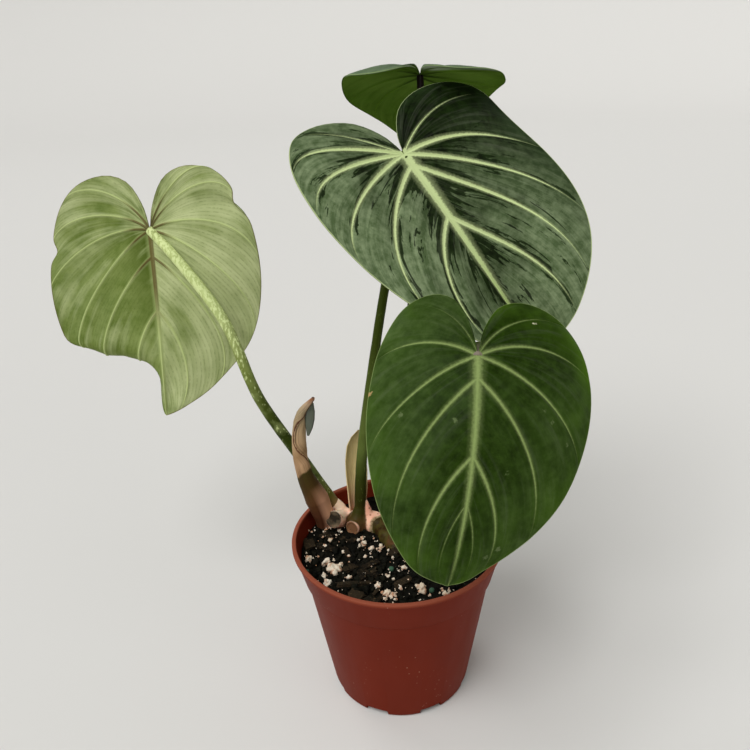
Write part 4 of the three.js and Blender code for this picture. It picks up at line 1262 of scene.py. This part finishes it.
# %% Build the rhizome
RHIZOME_PATH = [(-35, 25, 75), (-28, 25.5, 76), (-21, 21.5, 76), (-14, 19, 76.5), (-8, 15, 76),
                (-4, 7, 74.5), (0, -2, 72), (3, -9, 66)]
RHIZOME_RADII = [3.6, 4.4, 4.2, 5.2, 5.6, 4.6, 4.7, 4.4, 3.8, 2.6]
STUBS = [  # from, to, radius
    ((-27, 22, 76), (-30.7, 14, 81.5), 4.3),
    ((-17.5, 19, 75.5), (-21.9, 12, 77), 3.7),
]
FEET = {  # the swollen foot of each stalk, which clasps the stem: its path and its radii
    "left": ([(-27, 24.5, 74), (-28.5, 26.4, 78.5), (-32, 27.9, 83.6)], (4.6, 3.9, 2.7)),
    "big": ([(-19.8, 15.8, 73.5), (-18.8, 18, 79), (-17.5, 19.6, 84.5), (-17.2, 20, 89)],
            (5, 4.9, 3.4, 2.7, 2.5)),
    "front": ([(-1.5, 2, 71), (0, 2, 80)], (4.6, 3.6, 2.8)),
    "back": ([(-4.5, 12, 73), (-3.6, 14.3, 85)], (4, 3.2, 2.5)),
}
BUD_SCALE = [(-12.3, 16.2, 76), (-13.4, 18.2, 81), (-14.4, 19.6, 88.5)]
ANCHOR_ROOT = [(-22, 17, 75), (-23, 13.5, 74.6), (-24, 11, 72.5)]
RINGS = (0.12, 0.3, 0.5, 0.66, 0.8)  # shares of the stem's length
RING_HEIGHT = 0.5
RING_WIDTH = 0.012
VOXEL = 0.42
SMOOTHINGS = 4
UP = (0, 0, 1)


def ringed(rise, angle):
    """A raised lip at every node."""
    return sum(RING_HEIGHT * np.exp(-((rise - ring) / RING_WIDTH)**2) for ring in RINGS)


rhizome_bm = tube(RHIZOME_PATH, RHIZOME_RADII, 40, 120, facing=UP, texture=ringed)
for path, radii, sides, steps in (  # cut stubs, feet, bud scale and root
    *[([start, end], [radius + 0.6, radius + 0.1, radius, radius], 28, 16) for start, end, radius in STUBS],
    *[(*foot, 28, 24) for foot in FEET.values()],
    (BUD_SCALE, [3.6, 2.2, 0.7], 20, 20),
    (ANCHOR_ROOT, [1.3, 1.1, 0.6], 12, 14),
):
    absorb(rhizome_bm, tube(path, radii, sides, steps, facing=UP))
close(rhizome_bm)
rough_stem = plain_object("rough_rhizome", rhizome_bm)
remesh = rough_stem.modifiers.new("weld", "REMESH")
remesh.mode = "VOXEL"
remesh.voxel_size = VOXEL * MM
rhizome_bm = settled(rough_stem)
for _ in range(SMOOTHINGS):
    bmesh.ops.smooth_vert(rhizome_bm, verts=rhizome_bm.verts, factor=0.5,
                          use_axis_x=True, use_axis_y=True, use_axis_z=True)
print("rhizome:", len(rhizome_bm.verts), "vertices")

# %% Scars and marks
NODE = np.array([-8.5, 15])  # where the young part of the stem ends
NODE_WAY = np.array([0.45, -0.89])
STEM_LOW = 74  # the height where the stem lies on the mix
STEM_HEIGHT = 12
AXIS_SAMPLES = np.linspace(0, 1, 25)
SCAR_DEPTH = 0.5
rhizome_bm.normal_update()
skin_points = np.array([vert.co for vert in rhizome_bm.verts]) / MM
outward = np.array([vert.normal for vert in rhizome_bm.verts])
cut = np.zeros(len(skin_points))
brown = np.zeros(len(skin_points))
for number, (start, end, radius) in enumerate(STUBS):
    way = unit(np.subtract(end, start).astype(float))
    gap = skin_points - np.array(end)
    height = gap @ way
    radial = np.linalg.norm(gap - height[:, None] * way, axis=1)
    face = smooth((height + 0.9) / 0.5) * (radial < radius + 0.6)
    skin_points -= way * (face * SCAR_DEPTH * smooth((radius - 0.5 - radial) / 0.8))[:, None]
    scar = face * smooth((radius + 0.1 - radial) / 0.5)
    cut = np.maximum(cut, scar)
    brown = np.maximum(brown, scar * number)
foot = np.zeros(len(skin_points))
for name in ("big", "front", "back"):
    path, radii = FEET[name]
    axis = route(path, AXIS_SAMPLES, UP)[0]
    gaps = np.linalg.norm(skin_points[:, None] - axis, axis=2) / along(radii, AXIS_SAMPLES)
    foot = np.maximum(foot, smooth((1.3 - gaps.min(axis=1)) / 0.2))
bumps = 0.2 * ripple(skin_points, 6) + 0.05 * ripple(skin_points, 1.6, 4)
skin_points += outward * bumps[:, None]
past = (skin_points[:, :2] - NODE) @ NODE_WAY
high = (skin_points[:, 2] - STEM_LOW) / STEM_HEIGHT
shape(rhizome_bm, skin_points, cut=cut, brown=brown, foot=foot, past=past, high=high)
print("scars:", len(STUBS), "with", int(cut.sum()), "vertices on their faces")

# %% [markdown]
# ## Living stem tissue
#
# The young part of the stem is waxy, cream on top and pink below, with a few red-brown freckles. Its pink
# and cream are painted lighter than the tissue is, as painted light, to make up for the shade that the
# leaves and the pot cast on it. Its folds are darkened to red-brown, which is painted shade. A pale,
# fibrous ring marks the node where it ends, and beyond that the old stem is olive and brown. The feet of
# the stalks are brown too. The cut faces have dried to cork with darker dots, the ends of the plant's
# vessels. One of them has weathered to grey and the other is still brown.
# Living tissue lets a little light in, so it scatters a trace.

# %% Rhizome material
def stem_tissue():
    made, tree, shader, where = patterned("living_stem_tissue")
    cut, brown, foot, past, high = attributes(tree, "cut", "brown", "foot", "past", "high")
    cloud = add(tree, "TexNoise", {"Vector": where, "Scale": per_mm(8), "Detail": 4.0})
    grain = add(tree, "TexNoise", {"Vector": where, "Scale": per_mm(1.3), "Detail": 5.0})
    blush = add(tree, "MapRange", {"Value": cloud, "From Min": 0.4, "From Max": 0.62})
    # Painted light: the pink and the cream over it are lighter than the tissue is, to make up for the shade
    # that the leaves and the pot cast on the stem.
    skin = add(tree, "MixRGB", {"Fac": blush, "Color1": "#ffc9aa", "Color2": "#e6987c"})
    top = add(tree, "MapRange", {"Value": high, "From Min": 0.3, "From Max": 0.6, "To Max": 0.85})
    middle = add(tree, "MapRange", {"Value": past, "From Min": -5.0, "From Max": -9.0, "To Min": 0.2})
    paler = add(tree, "Math", {0: top, 1: middle}, operation="MULTIPLY")
    freckles = add(tree, "TexVoronoi", {"Vector": where, "Scale": per_mm(2.6)})
    freckle = add(tree, "MapRange", {"Value": freckles, "From Min": 0.26, "From Max": 0.12, "To Max": 0.7})

    shift = add(tree, "Math", {0: cloud, 1: 6.0, 2: past}, operation="MULTIPLY_ADD")
    aged = add(tree, "MapRange", {"Value": shift, "From Min": 3.0, "From Max": 4.4})
    dark = add(tree, "MapRange", {"Value": grain, "From Min": 0.48, "From Max": 0.66})
    patches = add(tree, "TexNoise", {"Vector": where, "Scale": per_mm(4), "Detail": 5.0})
    mossy = add(tree, "MapRange", {"Value": patches, "From Min": 0.38, "From Max": 0.62})
    olive = add(tree, "MixRGB", {"Fac": mossy, "Color1": "#4b431c", "Color2": "#33240f"})
    off = add(tree, "Math", {0: shift, 1: -3.4}, operation="ADD")
    apart = add(tree, "Math", {0: off}, operation="ABSOLUTE")
    ring = add(tree, "MapRange", {"Value": apart, "From Min": 1.3, "From Max": 0.4, "To Max": 0.8})
    strand = add(tree, "MixRGB", {"Fac": dark, "Color1": "#9c906a", "Color2": "#4b4526"})

    rising = add(tree, "MapRange", {"Value": high, "From Min": 0.25, "From Max": 0.75})
    clasp = add(tree, "MixRGB", {"Fac": rising, "Color1": "#573c22", "Color2": "#373610"})
    # Painted shade: concave folds, found by their pointiness, are darkened to red-brown where shade falls.
    bend = add(tree, "NewGeometry").outputs["Pointiness"]
    fold = add(tree, "MapRange", {"Value": bend, "From Min": 0.48, "From Max": 0.39, "To Max": 0.85})

    dots = add(tree, "TexVoronoi", {"Vector": where, "Scale": per_mm(1.2)})
    dot = add(tree, "MapRange", {"Value": dots, "From Min": 0.28, "From Max": 0.12, "To Max": 0.7})
    weathered = add(tree, "MixRGB", {"Fac": mossy, "Color1": "#6e5e4a", "Color2": "#2c261d"})
    cork = add(tree, "MixRGB", {"Fac": brown, "Color1": weathered, "Color2": "#7a563b"})
    corked = add(tree, "MixRGB", {"Fac": dot, "Color1": cork, "Color2": "#22170f"})

    for mask, tint in ((paler, "#ffe8ce"), (freckle, "#8a4a34"), (aged, olive), (ring, strand),
                       (foot, clasp), (fold, "#4a1f12"), (cut, corked)):
        skin = add(tree, "MixRGB", {"Fac": mask, "Color1": skin, "Color2": tint})
    bump = add(tree, "Bump", {"Height": grain, "Strength": 0.3, "Distance": 0.25 * MM})
    rough = add(tree, "MapRange", {"Value": cut, "To Min": 0.45, "To Max": 0.9})
    feed(tree, shader, {"Base Color": skin, "Roughness": rough, "Normal": bump,
                        "Subsurface Weight": 0.1, "Subsurface Scale": 0.6 * MM})
    return made


piece("rhizome_stem", rhizome_bm, [stem_tissue()], "rhizome", "rhizome")

# %% [markdown]
# ## Sheaths
#
# Every new leaf comes out of a sheath, a scale that is curled round it like a horn. The fresh one is
# still fleshy at its base, where the stalk has pushed out of it, and has dried to paper above. There it
# is rolled up tight, so that one edge lies over the other and shows as a dark line. The older one has
# dried right down to one thin scale. So each is a wall that starts at its outer edge and runs round,
# and where it has gone further than one full turn it tucks in under its own edge.

# %% Roll the sheaths
SHEATHS = {  # edge is the angle of the outer edge, round from the front to the right, and span its extent
    "new": dict(
        points=[(-35.8, 20.5, 74), (-36, 19.8, 80), (-38, 19, 89), (-43, 19, 104), (-45, 20.5, 118),
                (-44.1, 21, 131), (-42.2, 20, 138.6), (-36, 17, 147)],
        radii=[4, 5.3, 5.8, 4.7, 3.9, 3.7, 3.4, 3, 1.8, 0.8],
        walls=[2.4, 2.2, 1.8, 1.1, 0.7, 0.6, 0.6, 0.6, 0.5, 0.5],
        edge=[80] * 10 + [78, 50, 0, -35, -40, -33, -5, 60, 80, 80, 80],
        span=[345, 345, 345, 345, 385, 385, 385, 385, 385, 370], wrinkle=0.12),
    "dried": dict(
        points=[(-18.8, 22.5, 79), (-18.6, 24, 90), (-18, 26, 105), (-17, 27, 116), (-15.7, 27.5, 122.5)],
        radii=[4.2, 4.4, 4.7, 5.1, 5.5, 5.9, 6.1, 6.1, 5.8, 4.6, 2.6],
        walls=[1, 0.8, 0.6, 0.5, 0.5, 0.4],
        edge=[-85, -87, -90, -95, -100, -102, -105, -107, -110, -126, -155],
        span=[195, 190, 185, 170, 150, 138, 125, 117, 105, 80, 40], wrinkle=0.12),
}
WALL_COLUMNS = 76
EDGE_COLUMNS = 4
SHEATH_ROWS = 130
TUCK = 130  # degrees over which a wall slips in under its own edge


def sheath(points, radii, walls, edge, span, wrinkle):
    """A bmesh wall that is closed at both ends and has rounded edges."""
    half_way = WALL_COLUMNS + EDGE_COLUMNS
    bm, column, row = grid(2 * half_way, SHEATH_ROWS)
    rise = row / SHEATH_ROWS
    back = column >= half_way
    step = np.where(back, column - half_way, column)
    share = np.clip(step / WALL_COLUMNS, 0, 1)
    rounding = np.clip((step - WALL_COLUMNS) / EDGE_COLUMNS, 0, 1) * math.pi
    share = np.where(back, 1 - share, share)
    extent = along(span, rise)
    radius = along(radii, rise)
    wall = along(walls, rise) * smooth((1 - rise) / 0.02) * smooth(rise / 0.02)
    lap = smooth((extent - 360) / 20) * smooth((share * extent - extent + TUCK) / TUCK)
    middle = radius - wall / 2 - lap * np.minimum(wall + 0.35, radius * 0.5)
    depth = np.where(back, -1, 1) * np.cos(rounding)
    bulge = np.degrees(wall / 2 / middle) * np.sin(rounding) * np.where(back, -1, 1)
    angle = np.radians(along(edge, rise) - extent * share - bulge)
    centre, front, across = route(points, rise)
    ring = np.cos(angle)[:, None] * front + np.sin(angle)[:, None] * across
    folds = np.stack([share * 22, rise * 9, np.zeros(len(rise))], -1)
    crinkle = wrinkle * (ripple(folds, 1) + 0.5 * ripple(folds, 0.4, 3)) * smooth(rise / 0.2)
    place = centre + ring * (middle + depth * wall / 2 + crinkle)[:, None]
    brim = share * np.radians(extent) * radius + 9 * back
    shape(bm, place, rise=rise, turn=share, brim=brim, side=np.sin(angle))
    close(bm)
    return bm


def sheath_tissue(name, stops, streak, line="#4b2518", line_width=0.0, lean=0.0, flush_and_highlight_tint="#b98a70"):
    """Sheath tissue: a gradient along it, fine streaks, a flushed right side and a dark outer edge. The
    flush is partly a painted highlight.
    """
    made, tree, shader, where = patterned(name)
    rise, turn, brim, side = attributes(tree, "rise", "turn", "brim", "side")
    cloud = add(tree, "TexNoise", {"Vector": where, "Scale": per_mm(5), "Detail": 4.0})
    waver = add(tree, "Math", {0: cloud, 1: -0.5}, operation="ADD")
    level = add(tree, "Math", {0: waver, 1: 0.05, 2: rise}, operation="MULTIPLY_ADD")
    leaning = add(tree, "Math", {0: side, 1: -lean, 2: level}, operation="MULTIPLY_ADD")
    skin = add(tree, "ValToRGB", {"Fac": leaning})
    set_stops(skin, stops)
    lengthways = add(tree, "CombineXYZ", {"X": turn, "Y": rise})
    drawn = add(tree, "Mapping", {"Vector": lengthways, "Scale": (34, 3.5, 1)})
    fibre = add(tree, "TexNoise", {"Vector": drawn, "Scale": 1.0, "Detail": 5.0})
    streaks = add(tree, "MapRange", {"Value": fibre, "From Min": 0.5, "From Max": 0.7, "To Max": 0.5})
    # The flush low on the right side is partly the tissue's own pink and partly a painted highlight.
    low = add(tree, "MapRange", {"Value": rise, "From Min": 0.34, "From Max": 0.12})
    right = add(tree, "MapRange", {"Value": side, "From Min": 0.0, "From Max": 0.6})
    flush_and_highlight = add(tree, "Math", {0: low, 1: right}, operation="MULTIPLY")
    rim = add(tree, "MapRange", {"Value": brim, "From Min": line_width, "From Max": line_width * 0.5,
                                 "To Max": 0.9})
    high_up = add(tree, "MapRange", {"Value": rise, "From Min": 0.46, "From Max": 0.52})
    shown = add(tree, "Math", {0: rim, 1: high_up}, operation="MULTIPLY")
    for mask, tint in ((streaks, streak), (flush_and_highlight, flush_and_highlight_tint), (shown, line)):
        skin = add(tree, "MixRGB", {"Fac": mask, "Color1": skin, "Color2": tint})
    bump = add(tree, "Bump", {"Height": fibre, "Strength": 0.4, "Distance": 0.2 * MM})
    feed(tree, shader, {"Base Color": skin, "Roughness": 0.6, "Normal": bump})
    return made


fresh = sheath_tissue(
    "fresh_sheath_tissue",
    [(0, "#5e3a26"), (0.14, "#5a3522"), (0.26, "#57391f"), (0.34, "#463416"), (0.435, "#3f3614"),
     (0.445, "#a98762"), (0.5, "#ba9672"), (0.57, "#9c7c58"), (0.64, "#b49672"), (0.78, "#a58e6c"),
     (0.88, "#a59374"), (0.95, "#bba183"), (1, "#9a6a4c")],
    "#3a2014", line="#4a1f12", line_width=1.3, lean=0.022, flush_and_highlight_tint="#e2ab88")
# Painted light: the dry scale's colours are lighter than it is, to make up for the shade of the stalk in
# front of it.
dried = sheath_tissue(
    "dried_sheath_tissue",
    [(0, "#d8a78e"), (0.14, "#e2c097"), (0.4, "#e6d198"), (0.85, "#dac68e"), (1, "#b8a674")],
    "#a8955f")
piece("sheath_fresh", sheath(**SHEATHS["new"]), [fresh], "sheath_fresh", "sheath_new")
piece("sheath_dry", sheath(**SHEATHS["dried"]), [dried], "sheath_dry", "sheath_dried")

# %% [markdown]
# ## A withered membrane
#
# Where the fresh sheath has dried near its tip, a shred of its inner skin has come loose and withered to
# a thin grey-green film. It is made as a tube whose round section is pressed to a flat ellipse, and its
# material lets a little of what lies behind it show.

# %% Membrane
MEMBRANE = [(-37.6, 19.5, 143.6), (-38.4, 19.5, 139), (-38.9, 19.5, 134.4), (-39.5, 19.5, 130),
            (-40.3, 19.5, 126)]
MEMBRANE_WIDTHS = [1.2, 2.3, 2.3, 1.7, 0.5]
FLATNESS = 0.15


def flattened(rise, angle):
    """Turns a round section into a thin ellipse."""
    ellipse = FLATNESS / np.hypot(FLATNESS * np.sin(angle), np.cos(angle))
    return along(MEMBRANE_WIDTHS, rise) * (ellipse - 1)


membrane_bm = tube(MEMBRANE, MEMBRANE_WIDTHS, 32, 30, texture=flattened)
close(membrane_bm)
membrane, tree, shader = new_material("withered_membrane")
feed(tree, shader, {"Base Color": "#5f6657", "Roughness": 0.5, "Alpha": 0.85})
piece("sheath_membrane", membrane_bm, [membrane], "sheath_fresh")
